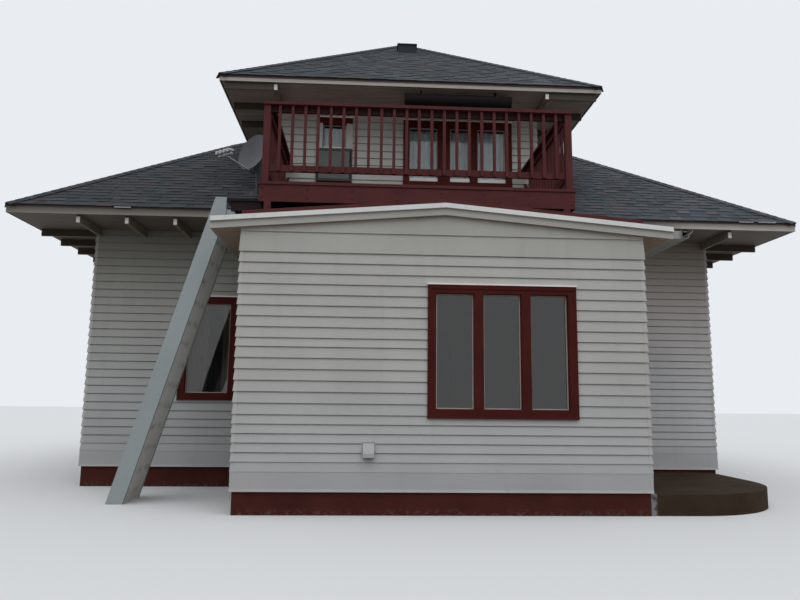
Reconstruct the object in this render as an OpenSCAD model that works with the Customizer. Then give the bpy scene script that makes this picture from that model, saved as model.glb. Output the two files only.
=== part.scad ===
// White clapboard house: a square main block under a steep hip roof, a narrower upper storey
// that rises through it, a low extension in front, a roof deck and a ship's ladder up to it.
// Millimetres, +Z up. The front looks along -Y. Heights are above the ground.

/* [Main block] */
// Width of the main block over its walls
house_w = 10200; // [9200:50:11400]
// Depth of the main block over its walls
house_d = 10200; // [9200:50:11400]
// Thickness of the outside walls
wall_t = 180; // [140:10:260]
// Height of the foundation that shows under the siding
foundation_h = 310; // [290:10:330]
// Thickness of the foundation walls
foundation_t = 220; // [200:10:300]
// How far the foundation stands back from the siding
foundation_inset = 15; // [0:5:30]
// Height of the ground floor
floor_z = 540; // [520:10:620]
// Thickness of each floor with its joists
floor_t = 200; // [120:10:205]

/* [Roofs] */
// Rise of the roof for each 12 of run
roof_rise = 8.9; // [8:0.1:10]
// Thickness of the roof, square to the slope
roof_t = 150; // [120:5:180]
// Underside of the main eaves
eave_z = 4090; // [4060:10:4200]
// Overhang of the main eaves
main_overhang = 970; // [800:10:1100]
// Height of the eaves' outer boards
fascia_h = 140; // [120:5:180]
// Thickness of the eaves' outer boards
fascia_t = 25; // [20:1:35]
// Thickness of the boards under the eaves
soffit_t = 15; // [10:1:20]
// Spacing of the eave brackets
bracket_pitch = 721; // [600:1:900]
// Width of an eave bracket
bracket_w = 50; // [40:1:70]
// Depth of an eave bracket below the eave
bracket_h = 115; // [80:5:120]

/* [Upper storey] */
// Width of the upper storey over its walls
upper_w = 4420; // [4300:20:4700]
// Overhang of the upper eaves
upper_overhang = 850; // [700:10:900]
// Height of the outer boards of the upper eaves
upper_fascia_h = 115; // [90:5:150]
// Height of the upper floor
upper_floor_z = 3800; // [3750:10:3850]
// Height of the dark board under the upper eave
frieze_h = 200; // [150:10:220]
// Thickness of the dark board under the upper eave
frieze_t = 12; // [8:1:20]
// Width of the vent below the ridge
vent_w = 350; // [250:10:450]
// Centre of the vent, right of the centre of the house
vent_x = 35; // [0:5:80]
// How far the vent stands in front of the ridge
vent_front = 800; // [700:10:900]
// Height of the ridge above the top of the vent
vent_down = 400; // [350:10:430]

/* [Extension] */
// Width of the extension over its walls
ext_w = 5150; // [5000:50:5300]
// How far the extension stands out from the main block
ext_d = 2680; // [2500:10:2900]
// Centre of the extension, right of the centre of the house
ext_x = 300; // [200:10:400]
// Thickness of the extension's walls
ext_wall_t = 150; // [120:10:180]
// Height of the extension's foundation
ext_foundation_h = 280; // [260:10:310]
// Peak of the extension's roof
ext_peak_z = 3870; // [3800:10:3900]
// Run of the extension's roof for a rise of 1
ext_run = 12; // [11:1:14]
// Thickness of the extension's roof
ext_roof_t = 150; // [120:10:180]
// Overhang of the extension's roof at its sides
ext_side_overhang = 380; // [350:10:395]
// Overhang of the extension's roof at the front
rake_overhang = 90; // [70:5:120]
// Height of the metal edge along the top of the front board
rake_cap_h = 50; // [30:5:70]
// Height of the red strip on the roof behind the front board
strip_h = 65; // [40:5:90]

/* [Windows] */
// Width of the visible frame round the panes
frame_w = 105; // [80:5:120]
// How far a frame laps over the siding
frame_lap = 50; // [30:5:60]
// How far a frame stands out from the siding
frame_proud = 28; // [20:1:35]
// Width of the pale rim round each pane
sash_w = 18; // [12:1:30]
// Thickness of the glass
glass_t = 6; // [4:1:10]
// Width of one pane of the front window of the extension
triple_pane_w = 482; // [440:2:500]
// Height of the panes of the front window of the extension
triple_pane_h = 1450; // [1300:10:1500]
// Width of the posts between its panes
triple_post = 118; // [90:2:130]
// Centre of the front window of the extension
triple_x = 1028; // [900:5:1050]
// Sill of the front window of the extension
triple_z = 1166; // [1100:5:1200]
// Width of a single ground-floor window
single_w = 893; // [800:5:950]
// Height of a single ground-floor window
single_h = 1658; // [1500:5:1700]
// Centre of the front window of the main block, left of the centre of the house
single_x = 3220; // [3100:10:3400]
// Sill of the single ground-floor windows
single_z = 1350; // [1250:10:1400]
// Width of the upper double-hung window
hung_w = 610; // [560:10:700]
// Gap between the upper windows and the roof below them
upper_sill_gap = 2.5; // [0:0.5:20]
// Gap between the upper windows and the board above them
upper_head_gap = 10; // [0:1:40]
// Centre of the upper double-hung window, left of the centre of the house
hung_x = 1272; // [1250:2:1300]
// Width of the outer panes of the upper three-part window
upper_pane_w = 490; // [460:5:500]
// Width of its middle pane
upper_mid_w = 345; // [300:5:350]
// How far the middle pane stands right of the middle
upper_mid_shift = 38; // [0:2:50]
// Width of the posts between its panes
upper_post = 168; // [140:2:170]
// Centre of the upper three-part window
upper_triple_x = 836; // [820:2:850]
// Distance of the side and back windows from the middle of their wall
side_window_x = 2400; // [2000:50:3000]

/* [Doors] */
// Width of a door opening
door_w = 900; // [800:10:1000]
// Height of a door opening
door_h = 2050; // [1950:10:2100]
// Distance of the side door's centre from the front of the extension
door_y = 1350; // [1200:10:1500]

/* [Roof deck] */
// How far the deck's sides stand inside the walls of the upper storey
deck_inset = 110; // [60:5:200]
// Centre of the deck
deck_x = -20; // [-40:5:0]
// Front of the deck, from the front wall of the main block
deck_front = 2450; // [2350:10:2480]
// Height of the deck
deck_z = 4200; // [4180:5:4215]
// Thickness of the deck boards
deck_board_t = 40; // [30:1:45]
// Width of the deck boards
deck_board_w = 140; // [120:5:160]
// Gap between the deck boards
deck_gap = 6; // [4:1:10]
// Height of the joists under the deck
joist_h = 232; // [200:4:240]
// Thickness of the joists and rails
lumber_t = 38; // [35:1:45]
// Width of the railing posts
post_w = 89; // [80:1:100]
// Height of the railing above the deck
rail_h = 1100; // [1000:10:1150]
// Width of the cap on the railing
cap_w = 140; // [120:5:160]
// How far the railing stands in from the sides of the deck
rail_inset = 25; // [0:5:40]
// Spacing of the balusters
baluster_pitch = 169; // [140:0.5:190]
// Height of the railing's long members
rail_member_h = 89; // [80:1:100]
// Height of the bottom rail above the deck
bottom_rail_gap = 150; // [100:5:180]

/* [Ladder] */
// Height of the landing beside the deck
landing_z = 4140; // [4120:5:4160]
// How far the landing stands back from the edge of the roof
landing_inset = 0; // [0:5:40]
// Lean of the ladder from the ground
ladder_lean = 73.7; // [72:0.1:76]
// Width of the stringers
stringer_w = 210; // [180:5:240]
// Thickness of the stringers
stringer_t = 40; // [35:1:50]
// Length of the treads between the stringers
tread_l = 609; // [500:1:700]
// Height of the stringers' upright cut against the landing
plumb_h = 220; // [180:5:260]
// Thickness of the board behind the treads
back_t = 18; // [12:1:25]
// Number of rises
rises = 16; // [14:1:17]
// Distance of the ladder's front from the front wall of the main block
ladder_y = 1846; // [1830:2:1900]

/* [Stoop and fittings] */
// Width of the concrete stoop
stoop_w = 2125; // [1900:25:2200]
// Depth of the stoop from the main wall
stoop_d = 2650; // [2400:50:2680]
// Height of the stoop
stoop_h = 260; // [200:5:270]
// Radius of the stoop's round corner
stoop_r = 1500; // [900:50:1700]
// Diameter of the dish
dish_d = 630; // [500:10:650]
// Height of the centre of the dish
dish_z = 5310; // [5250:5:5400]
// Width of the air vent's hood
hood_w = 160; // [140:5:180]
// Centre of the air vent's hood, left of the centre of the house
hood_x = 632; // [600:2:660]
// How far the middle of the dish stands left of the deck
dish_out = 440; // [430:5:450]
// Diameter of the rolled-up sun shade
shade_d = 180; // [150:5:190]
// Length of the rolled-up sun shade
shade_l = 1740; // [1500:10:1800]
// Width of the gutter
gutter_w = 145; // [120:5:160]
// Height of the gutter
gutter_h = 110; // [90:5:120]

/* [Hidden] */
$fn = 48;
pitch = roof_rise / 12;
roof_drop = roof_t * sqrt(1 + pitch * pitch);
// the front wall of the main block; the model's origin is in the middle of its outline
front_y = -(house_d + main_overhang - ext_d - rake_overhang) / 2;
main_roof_w = house_w + 2 * main_overhang;
main_roof_d = house_d + 2 * main_overhang;
main_eave_top = eave_z + fascia_h;
upper_roof_w = upper_w + 2 * upper_overhang;
upper_roof_d = house_d + 2 * upper_overhang;
// the side slopes of both roofs lie in one plane
upper_eave_top = main_eave_top + pitch * (main_roof_w - upper_roof_w) / 2;
upper_eave_z = upper_eave_top - upper_fascia_h;
// where the main roof's front slope meets the upper front wall
pent_top = main_eave_top + pitch * main_overhang;
// the upper windows fill the wall between that roof and the board under the eave
upper_sill_z = pent_top + upper_sill_gap;
upper_window_h = upper_eave_z - frieze_h - upper_head_gap - upper_sill_z;
// the cheek walls end where the main roof has covered the upper eave
cheek_d = (upper_eave_z - main_eave_top) / pitch - main_overhang + 150;
ridge_y = upper_roof_w / 2 - upper_overhang;
ridge_z = upper_eave_top + pitch * upper_roof_w / 2;
ext_left = ext_x - ext_w / 2;
ext_right = ext_x + ext_w / 2;
ext_roof_w = ext_w + 2 * ext_side_overhang;
rake_t = 25;
rake_board_t = 15;
triple_w = 3 * triple_pane_w + 2 * triple_post + 2 * frame_w;
triple_h = triple_pane_h + 2 * frame_w;
upper_triple_w = 2 * upper_pane_w + upper_mid_w + 2 * upper_post + 2 * frame_w;
frame_in = 12;
sash_y = 40;
sash_t = 36;
deck_w = upper_w - 2 * deck_inset;
deck_left = deck_x - deck_w / 2;
deck_back = main_overhang + 25;
deck_under = deck_z - deck_board_t - joist_h;
cap_t = 38;
cap_z = deck_z + rail_h - cap_t;
rail_z = cap_z - rail_member_h;
deck_nose = 15;
rail_left = deck_left + rail_inset;
rail_w = deck_w - 2 * rail_inset;
bay_n = round((rail_w - post_w) / baluster_pitch);
stringer_run = stringer_w / sin(ladder_lean);
landing_right = deck_left;
landing_left = ext_x - ext_roof_w / 2 + landing_inset;
// the board behind the treads, measured level, and how far it stands inside the stringers
back_run = back_t / sin(ladder_lean);
back_in = 5;
tread_rise = landing_z / rises;
tread_t = 38;
// the short posts are cut to the roof from this far below its peak
post_sink = 600;
// the landing's outer posts stand this far right of its middle
post_right = 2.5;
// the vent is cut to the roof from this far below its top
vent_sink = 350;
// the slopes of a roof stand this far apart at the hips and the ridge
slope_joint = 3;
grow = 200;
// a slope is drawn from a little outside the eave to beyond the ridge
slope_start = 120;
slope_run = 12000;
reach = 20000;

white = "#b4b6b2";
red = "#5c2c2a";
brown = "#3b302c";
slate = "#3e4446";
concrete = "#77736c";

// ---- placing ----

// y = 0 is the outside of the main block's front wall
module on_front() {
  translate([0, front_y, 0])
    children();
}

// what stands at the front is repeated at the back
module front_and_back() {
  children();
  translate([0, house_d, 0])
    mirror([0, 1, 0])
      children();
}

module block(x0, x1, y0, y1, z0, z1) {
  translate([x0, y0, z0])
    cube([x1 - x0, y1 - y0, z1 - z0]);
}

// a face in the x and z directions, made thick from y0 to y1
module across(y0, y1) {
  translate([0, y1, 0])
    rotate([90, 0, 0])
      linear_extrude(height = y1 - y0)
        children();
}

// a face in the y and z directions, made thick from x0 to x1
module along(x0, x1) {
  translate([x0, 0, 0])
    rotate([90, 0, 90])
      linear_extrude(height = x1 - x0)
        children();
}

// ---- roof solids ----

// what lies above a slope that rises inwards from an eave; the eave is the x axis
module above_slope() {
  rotate([90, 0, 90])
    linear_extrude(height = 2 * reach, center = true)
      polygon([[-slope_start, -pitch * slope_start], [slope_run, pitch * slope_run],
               [slope_run, 2 * reach], [-slope_start, 2 * reach]]);
}

// everything under a hip roof of w by d whose outer edge is at the height eave
module hip_solid(w, d, eave) {
  translate([0, house_d / 2, 0])
    difference() {
      block(-w / 2, w / 2, -d / 2, d / 2, 0, reach);
      for (turn = [0, 180])
        rotate([0, 0, turn]) {
          translate([0, -d / 2, eave])
            above_slope();
          rotate([0, 0, 90])
            translate([0, -w / 2, eave])
              above_slope();
        }
    }
}

module main_solid() {
  hip_solid(main_roof_w, main_roof_d, main_eave_top);
}

// the same, a hair higher: the side slopes of both roofs lie in one plane
module main_solid_raised() {
  hip_solid(main_roof_w, main_roof_d, main_eave_top + 1);
}

module main_solid_inside_fascia() {
  hip_solid(main_roof_w - 2 * fascia_t, main_roof_d - 2 * fascia_t,
            main_eave_top + pitch * fascia_t);
}

// everything under the underside of the main roof
module under_main() {
  hip_solid(main_roof_w + 2 * grow, main_roof_d + 2 * grow,
            main_eave_top - roof_drop - pitch * grow);
}

module upper_solid() {
  hip_solid(upper_roof_w, upper_roof_d, upper_eave_top);
}

module upper_solid_inside_fascia() {
  hip_solid(upper_roof_w - 2 * fascia_t, upper_roof_d - 2 * fascia_t,
            upper_eave_top + pitch * fascia_t);
}

module under_upper() {
  hip_solid(upper_roof_w + 2 * grow, upper_roof_d + 2 * grow,
            upper_eave_top - roof_drop - pitch * grow);
}

// thin upright cuts from the corners of a hip roof inwards, and along its ridge
module slope_joints(w, d) {
  j = slope_joint / 2;
  span = min(w, d) / 2;
  translate([0, house_d / 2, 0])
    for (s = [0, 1], t = [0, 1])
      mirror([s, 0, 0])
        mirror([0, t, 0]) {
          translate([w / 2, d / 2, 0])
            rotate([0, 0, -135])
              block(-j, span * sqrt(2) + j, -j, j, 0, reach);
          block(-j, j, -1, d / 2 - span, 0, reach);
        }
}

// the same along the side walls of the upper storey
module wall_joints() {
  j = slope_joint / 2;
  for (s = [-1, 1])
    block(s * upper_w / 2 - j, s * upper_w / 2 + j, -reach, reach, 0, reach);
}

module upper_strip(z0, z1) {
  block(-upper_w / 2, upper_w / 2, 0, house_d, z0, z1);
}

module below(z) {
  block(-reach, reach, -reach, reach, -1, z);
}

// profile of the extension's roof, from drop below its top plane down to lower
module ext_roof_profile(half, drop, lower) {
  translate([ext_x, 0])
    polygon([[0, ext_peak_z - drop], [half, ext_peak_z - half / ext_run - drop],
             [half, ext_peak_z - half / ext_run - lower], [0, ext_peak_z - lower],
             [-half, ext_peak_z - half / ext_run - lower],
             [-half, ext_peak_z - half / ext_run - drop]]);
}

module under_ext_roof() {
  across(-ext_d, 0)
    ext_roof_profile(ext_w / 2 + 1, ext_roof_t, ext_peak_z);
}

// ---- windows ----

// the hole that a window fills; w and h are the frame's outside
module window_hole(w, h, t) {
  block(-w / 2 + frame_lap, w / 2 - frame_lap, -1, t + 1, frame_lap, h - frame_lap);
}

// panes holds the left edge and the width of each pane, from the window's centre
module window_frame(w, h, t, panes) {
  difference() {
    union() {
      block(-w / 2, w / 2, -frame_proud, 0, 0, h);
      block(-w / 2 + frame_lap, w / 2 - frame_lap, -1, t + frame_in, frame_lap, h - frame_lap);
    }
    for (p = panes)
      block(p[0], p[0] + p[1], -frame_proud - 1, t + frame_in + 1, frame_w, h - frame_w);
  }
}

module window_sash(h, panes) {
  for (p = panes)
    difference() {
      block(p[0], p[0] + p[1], sash_y, sash_y + sash_t, frame_w, h - frame_w);
      block(p[0] + sash_w, p[0] + p[1] - sash_w, sash_y - 1, sash_y + sash_t + 1,
            frame_w + sash_w, h - frame_w - sash_w);
    }
}

module window_glass(h, panes) {
  for (p = panes)
    block(p[0] + sash_w, p[0] + p[1] - sash_w, sash_y + (sash_t - glass_t) / 2,
          sash_y + (sash_t + glass_t) / 2, frame_w + sash_w, h - frame_w - sash_w);
}

triple_panes = [for (i = [-1:1])
  [i * (triple_pane_w + triple_post) - triple_pane_w / 2, triple_pane_w]];
single_panes = [[-single_w / 2 + frame_w, single_w - 2 * frame_w]];
hung_panes = [[-hung_w / 2 + frame_w, hung_w - 2 * frame_w]];
upper_panes = [[-upper_mid_w / 2 - upper_post - upper_pane_w, upper_pane_w],
               [-upper_mid_w / 2 + upper_mid_shift, upper_mid_w],
               [upper_mid_w / 2 + upper_post, upper_pane_w]];

// the windows of each wall; children(0) is drawn at each
module at_extension_window() {
  translate([triple_x, -ext_d, triple_z])
    children();
}

module at_front_window() {
  translate([-single_x, 0, single_z])
    children();
}

module at_back_windows() {
  for (s = [-1, 1])
    translate([s * side_window_x, house_d, single_z])
      mirror([0, 1, 0])
        children();
}

module at_left_windows() {
  for (s = [-1, 1])
    translate([-house_w / 2, house_d / 2 + s * side_window_x, single_z])
      rotate([0, 0, -90])
        children();
}

module at_right_windows() {
  mirror([1, 0, 0])
    at_left_windows()
      children();
}

module at_upper_hung() {
  translate([-hung_x, 0, upper_sill_z])
    children();
}

module at_upper_triple() {
  translate([upper_triple_x, 0, upper_sill_z])
    children();
}

module at_side_door() {
  translate([ext_right, -ext_d + door_y, floor_z])
    rotate([0, 0, 90])
      children();
}

// ---- main block ----

module main_foundation() {
  color(red)
    on_front()
      difference() {
        block(-house_w / 2 + foundation_inset, house_w / 2 - foundation_inset,
              foundation_inset, house_d - foundation_inset, 0, foundation_h);
        block(-house_w / 2 + foundation_inset + foundation_t,
              house_w / 2 - foundation_inset - foundation_t,
              foundation_inset + foundation_t, house_d - foundation_inset - foundation_t,
              -1, foundation_h + 1);
      }
}

module main_floor() {
  color("#8a6f52")
    on_front()
      block(-house_w / 2 + wall_t, house_w / 2 - wall_t, wall_t, house_d - wall_t,
            floor_z - floor_t, floor_z);
}

module upper_floor() {
  color("#8a6f52")
    on_front()
      block(-house_w / 2 + wall_t, house_w / 2 - wall_t, wall_t, house_d - wall_t,
            upper_floor_z - floor_t, upper_floor_z);
}

// a long wall with its top cut to the roof, left low where the upper wall stands on it
module end_wall() {
  difference() {
    intersection() {
      block(-house_w / 2, house_w / 2, 0, wall_t, foundation_h, ridge_z);
      under_main();
    }
    block(-upper_w / 2, upper_w / 2, -1, wall_t + 1, upper_floor_z, ridge_z);
  }
}

module front_wall() {
  color(white)
    on_front()
      difference() {
        end_wall();
        at_front_window()
          window_hole(single_w, single_h, wall_t);
        translate([ext_x, 0, floor_z])
          block(-door_w / 2, door_w / 2, -1, wall_t + 1, 0, door_h);
      }
}

module back_wall() {
  color(white)
    on_front()
      difference() {
        translate([0, house_d, 0])
          mirror([0, 1, 0])
            end_wall();
        at_back_windows()
          window_hole(single_w, single_h, wall_t);
      }
}

module side_wall() {
  difference() {
    intersection() {
      block(-house_w / 2, -house_w / 2 + wall_t, wall_t, house_d - wall_t, foundation_h,
            ridge_z);
      under_main();
    }
    at_left_windows()
      window_hole(single_w, single_h, wall_t);
  }
}

module left_wall() {
  color(white)
    on_front()
      side_wall();
}

module right_wall() {
  color(white)
    on_front()
      mirror([1, 0, 0])
        side_wall();
}

// ---- upper storey ----

module upper_end_wall() {
  difference() {
    intersection() {
      block(-upper_w / 2, upper_w / 2, 0, wall_t, upper_floor_z, ridge_z);
      under_upper();
    }
    at_upper_hung()
      window_hole(hung_w, upper_window_h, wall_t);
    at_upper_triple()
      window_hole(upper_triple_w, upper_window_h, wall_t);
  }
}

module upper_front_wall() {
  color(white)
    on_front()
      upper_end_wall();
}

module upper_back_wall() {
  color(white)
    on_front()
      translate([0, house_d, 0])
        mirror([0, 1, 0])
          upper_end_wall();
}

// the side walls of the upper storey, from the main roof's underside to the upper roof's
module cheek_wall() {
  difference() {
    intersection() {
      block(upper_w / 2 - wall_t, upper_w / 2, wall_t, cheek_d, eave_z, ridge_z);
      under_upper();
    }
    under_main();
  }
}

module cheek_walls() {
  color(white)
    on_front()
      front_and_back()
        for (s = [0, 1])
          mirror([s, 0, 0])
            cheek_wall();
}

// ---- roofs ----

module main_roof() {
  color(slate)
    on_front()
      difference() {
        main_solid_inside_fascia();
        under_main();
        below(eave_z + soffit_t);
        upper_strip(0, reach);
        slope_joints(main_roof_w, main_roof_d);
        wall_joints();
      }
}

module main_soffit() {
  color(brown)
    on_front()
      translate([0, house_d / 2, eave_z])
        linear_extrude(height = soffit_t)
          difference() {
            square([main_roof_w - 2 * fascia_t, main_roof_d - 2 * fascia_t], center = true);
            square([house_w, house_d], center = true);
          }
}

module fascia_ring(w, d, z, h) {
  translate([0, house_d / 2, z])
    linear_extrude(height = h + pitch * fascia_t + 10)
      difference() {
        square([w, d], center = true);
        square([w - 2 * fascia_t, d - 2 * fascia_t], center = true);
      }
}

module main_fascia() {
  color(white)
    on_front()
      intersection() {
        fascia_ring(main_roof_w, main_roof_d, eave_z, fascia_h);
        main_solid();
      }
}

// outside the upper walls only what stands above the main roof is left
module upper_roof() {
  color(slate)
    on_front()
      difference() {
        upper_solid_inside_fascia();
        under_upper();
        below(upper_eave_z + soffit_t);
        difference() {
          main_solid_raised();
          upper_strip(-1, reach);
        }
        slope_joints(upper_roof_w, upper_roof_d);
        wall_joints();
      }
}

module upper_soffit() {
  color(brown)
    on_front()
      difference() {
        translate([0, house_d / 2, upper_eave_z])
          linear_extrude(height = soffit_t)
            difference() {
              square([upper_roof_w - 2 * fascia_t, upper_roof_d - 2 * fascia_t],
                     center = true);
              square([upper_w, house_d], center = true);
            }
        main_solid();
      }
}

// the outer boards run back from the front until the main roof's front slope covers them
module upper_fascia() {
  far = house_d / 2;
  color(white)
    on_front()
      front_and_back()
        difference() {
          intersection() {
            fascia_ring(upper_roof_w, upper_roof_d, upper_eave_z, upper_fascia_h);
            upper_solid();
          }
          along(-reach, reach)
            polygon([[-main_overhang, 0], [reach, 0], [reach, reach],
                     [far, main_eave_top + 1 + pitch * (far + main_overhang)],
                     [-main_overhang, main_eave_top + 1]]);
        }
}

module upper_frieze() {
  color(brown)
    on_front()
      front_and_back()
        block(-upper_w / 2, upper_w / 2, -frieze_t, 0, upper_eave_z - frieze_h,
              upper_eave_z);
}

// brackets under one eave, centred on the wall; the wall's face is y = 0
module bracket_row(length, overhang, z) {
  n = floor(length / bracket_pitch / 2);
  for (i = [-n:n])
    block(i * bracket_pitch - bracket_w / 2, i * bracket_pitch + bracket_w / 2,
          -overhang + fascia_t + 40, 0, z - bracket_h, z);
}

// one bracket at the corner of the upper front wall and three under the eave beside it; the
// first of these stands inside the front fascia, the next in line with the wall
module upper_brackets() {
  z = upper_eave_z - bracket_h;
  out = upper_overhang - fascia_t - 40;
  first = -upper_overhang + fascia_t + 5;
  block(upper_w / 2 - bracket_w, upper_w / 2, -out, -frieze_t, z, upper_eave_z);
  for (y = [first, -bracket_w, -2 * bracket_w - first])
    block(upper_w / 2, upper_w / 2 + out, y, y + bracket_w, z, upper_eave_z);
}

module eave_brackets() {
  color(white)
    on_front() {
      front_and_back()
        bracket_row(house_w, main_overhang, eave_z);
      for (s = [0, 1])
        mirror([s, 0, 0])
          translate([-house_w / 2, house_d / 2, 0])
            rotate([0, 0, -90])
              bracket_row(house_d, main_overhang, eave_z);
      front_and_back()
        for (s = [0, 1])
          mirror([s, 0, 0])
            upper_brackets();
    }
}

// a low box with a level top on the front slope, just below the ridge
module ridge_vent() {
  lip = 20;
  y = ridge_y - vent_front;
  top = ridge_z - vent_down;
  color(slate)
    on_front()
      difference() {
        translate([vent_x, y, 0]) {
          block(-vent_w / 2, vent_w / 2, 0, 0.9 * vent_w, top - vent_sink, top - lip);
          block(-vent_w / 2 - lip, vent_w / 2 + lip, -lip, 0.9 * vent_w, top - lip, top);
        }
        upper_solid();
      }
}

// ---- extension ----

module extension_foundation() {
  color(red)
    on_front()
      difference() {
        block(ext_left + foundation_inset, ext_right - foundation_inset,
              -ext_d + foundation_inset, foundation_inset, 0, ext_foundation_h);
        block(ext_left + foundation_inset + foundation_t,
              ext_right - foundation_inset - foundation_t,
              -ext_d + foundation_inset + foundation_t, foundation_inset + 1, -1,
              ext_foundation_h + 1);
      }
}

module extension_floor() {
  color("#8a6f52")
    on_front()
      block(ext_left + ext_wall_t, ext_right - ext_wall_t, -ext_d + ext_wall_t, 0,
            floor_z - floor_t, floor_z);
}

module extension_front_wall() {
  color(white)
    on_front()
      difference() {
        intersection() {
          block(ext_left, ext_right, -ext_d, -ext_d + ext_wall_t, ext_foundation_h,
                ext_peak_z);
          under_ext_roof();
        }
        at_extension_window()
          window_hole(triple_w, triple_h, ext_wall_t);
      }
}

module ext_side_wall(x0) {
  intersection() {
    block(x0, x0 + ext_wall_t, -ext_d + ext_wall_t, 0, ext_foundation_h, ext_peak_z);
    under_ext_roof();
  }
}

module extension_left_wall() {
  color(white)
    on_front()
      ext_side_wall(ext_left);
}

module extension_right_wall() {
  color(white)
    on_front()
      difference() {
        ext_side_wall(ext_right - ext_wall_t);
        at_side_door()
          block(-door_w / 2, door_w / 2, -1, ext_wall_t + 1, 0, door_h);
      }
}

module extension_roof() {
  color(slate)
    on_front()
      across(-ext_d - rake_overhang + rake_t, 0)
        ext_roof_profile(ext_roof_w / 2 - fascia_t, 0, ext_roof_t);
}

// the front board with its metal edge, and the boards along both eaves
module extension_fascia() {
  rake_front = -ext_d - rake_overhang;
  color("#c4c6c4")
    on_front() {
      across(rake_front, rake_front + rake_t)
        ext_roof_profile(ext_roof_w / 2, 0, rake_cap_h);
      across(rake_front + rake_t - rake_board_t, rake_front + rake_t)
        ext_roof_profile(ext_roof_w / 2, rake_cap_h, ext_roof_t);
      across(rake_front + rake_t, 0)
        difference() {
          ext_roof_profile(ext_roof_w / 2, 0, ext_roof_t);
          ext_roof_profile(ext_roof_w / 2 - fascia_t, -1, ext_roof_t + 1);
        }
    }
}

// a low red curb along the front of the roof, as wide as the wall below
module roof_edge_strip() {
  color(red)
    on_front()
      across(-ext_d - rake_overhang + rake_t + 10, -ext_d - rake_overhang + rake_t + 50)
        ext_roof_profile(ext_w / 2, -strip_h, 0);
}

// a gutter with a folded front on a board along the right eave
module gutter() {
  board_t = 110;
  x0 = ext_x + ext_roof_w / 2;
  z0 = ext_peak_z - (ext_roof_w / 2) / ext_run - ext_roof_t;
  skin = 4;
  lip = 15;
  color("#b9bbb9")
    on_front() {
      block(x0, x0 + board_t, -ext_d - rake_overhang + rake_t, -20, z0 + 10, z0 + 115);
      translate([x0 + board_t, 0, z0 + 15])
        across(-ext_d - rake_overhang, -20)
          difference() {
            polygon([[0, 0], [0.62 * gutter_w, 0], [0.7 * gutter_w, 0.45 * gutter_h],
                     [gutter_w, 0.75 * gutter_h], [gutter_w, gutter_h],
                     [gutter_w - lip, gutter_h], [gutter_w - lip, gutter_h - skin],
                     [0, gutter_h - skin]]);
            polygon([[skin, skin], [0.62 * gutter_w - skin, skin],
                     [0.7 * gutter_w - skin, 0.45 * gutter_h + skin / 2],
                     [gutter_w - skin, 0.75 * gutter_h + skin / 2],
                     [gutter_w - skin, gutter_h - skin], [skin, gutter_h + 1],
                     [skin, gutter_h]]);
          }
    }
}

// ---- windows and door ----

module extension_window() {
  color(red)
    on_front()
      at_extension_window()
        window_frame(triple_w, triple_h, ext_wall_t, triple_panes);
}

module front_window() {
  color(red)
    on_front()
      at_front_window()
        window_frame(single_w, single_h, wall_t, single_panes);
}

module left_windows() {
  color(red)
    on_front()
      at_left_windows()
        window_frame(single_w, single_h, wall_t, single_panes);
}

module right_windows() {
  color(red)
    on_front()
      at_right_windows()
        window_frame(single_w, single_h, wall_t, single_panes);
}

module back_windows() {
  color(red)
    on_front()
      at_back_windows()
        window_frame(single_w, single_h, wall_t, single_panes);
}

// the double-hung window keeps the rail where its two sashes meet
module upper_window_pair() {
  at_upper_hung() {
    window_frame(hung_w, upper_window_h, wall_t, hung_panes);
    block(-hung_w / 2 + frame_w, hung_w / 2 - frame_w, 10, sash_y - 2,
          upper_window_h / 2 - 25, upper_window_h / 2 + 25);
  }
  at_upper_triple()
    window_frame(upper_triple_w, upper_window_h, wall_t, upper_panes);
}

module upper_front_windows() {
  color(red)
    on_front()
      upper_window_pair();
}

module upper_back_windows() {
  color(red)
    on_front()
      translate([0, house_d, 0])
        mirror([0, 1, 0])
          upper_window_pair();
}

module window_sashes() {
  color("#9a9890")
    on_front() {
      at_extension_window()
        window_sash(triple_h, triple_panes);
      at_front_window()
        window_sash(single_h, single_panes);
      at_left_windows()
        window_sash(single_h, single_panes);
      at_right_windows()
        window_sash(single_h, single_panes);
      at_back_windows()
        window_sash(single_h, single_panes);
      front_and_back() {
        at_upper_hung()
          window_sash(upper_window_h, hung_panes);
        at_upper_triple()
          window_sash(upper_window_h, upper_panes);
      }
    }
}

module ground_glass() {
  color("#6f7b80", 0.6)
    on_front() {
      at_extension_window()
        window_glass(triple_h, triple_panes);
      at_front_window()
        window_glass(single_h, single_panes);
      at_left_windows()
        window_glass(single_h, single_panes);
      at_right_windows()
        window_glass(single_h, single_panes);
      at_back_windows()
        window_glass(single_h, single_panes);
    }
}

module upper_glass() {
  color("#6f7b80", 0.6)
    on_front()
      front_and_back() {
        at_upper_hung()
          window_glass(upper_window_h, hung_panes);
        at_upper_triple()
          window_glass(upper_window_h, upper_panes);
      }
}

// a plain closed door in its frame above the stoop
module side_door() {
  jamb = 40;
  color("#c4c6c4")
    on_front()
      at_side_door() {
        difference() {
          union() {
            block(-door_w / 2 - 60, door_w / 2 + 60, -frame_proud, 0, -40, door_h + 60);
            block(-door_w / 2, door_w / 2, -1, ext_wall_t, 0, door_h);
          }
          block(-door_w / 2 + jamb, door_w / 2 - jamb, -frame_proud - 1, 50, jamb,
                door_h - jamb);
          block(-door_w / 2 + jamb, door_w / 2 - jamb, 95, ext_wall_t + 1, jamb,
                door_h - jamb);
          for (z = [0.08, 0.54])
            block(-door_w / 2 + 160, door_w / 2 - 160, 49, 60, z * door_h,
                  (z + 0.38) * door_h);
        }
      }
}

// ---- roof deck ----

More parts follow.
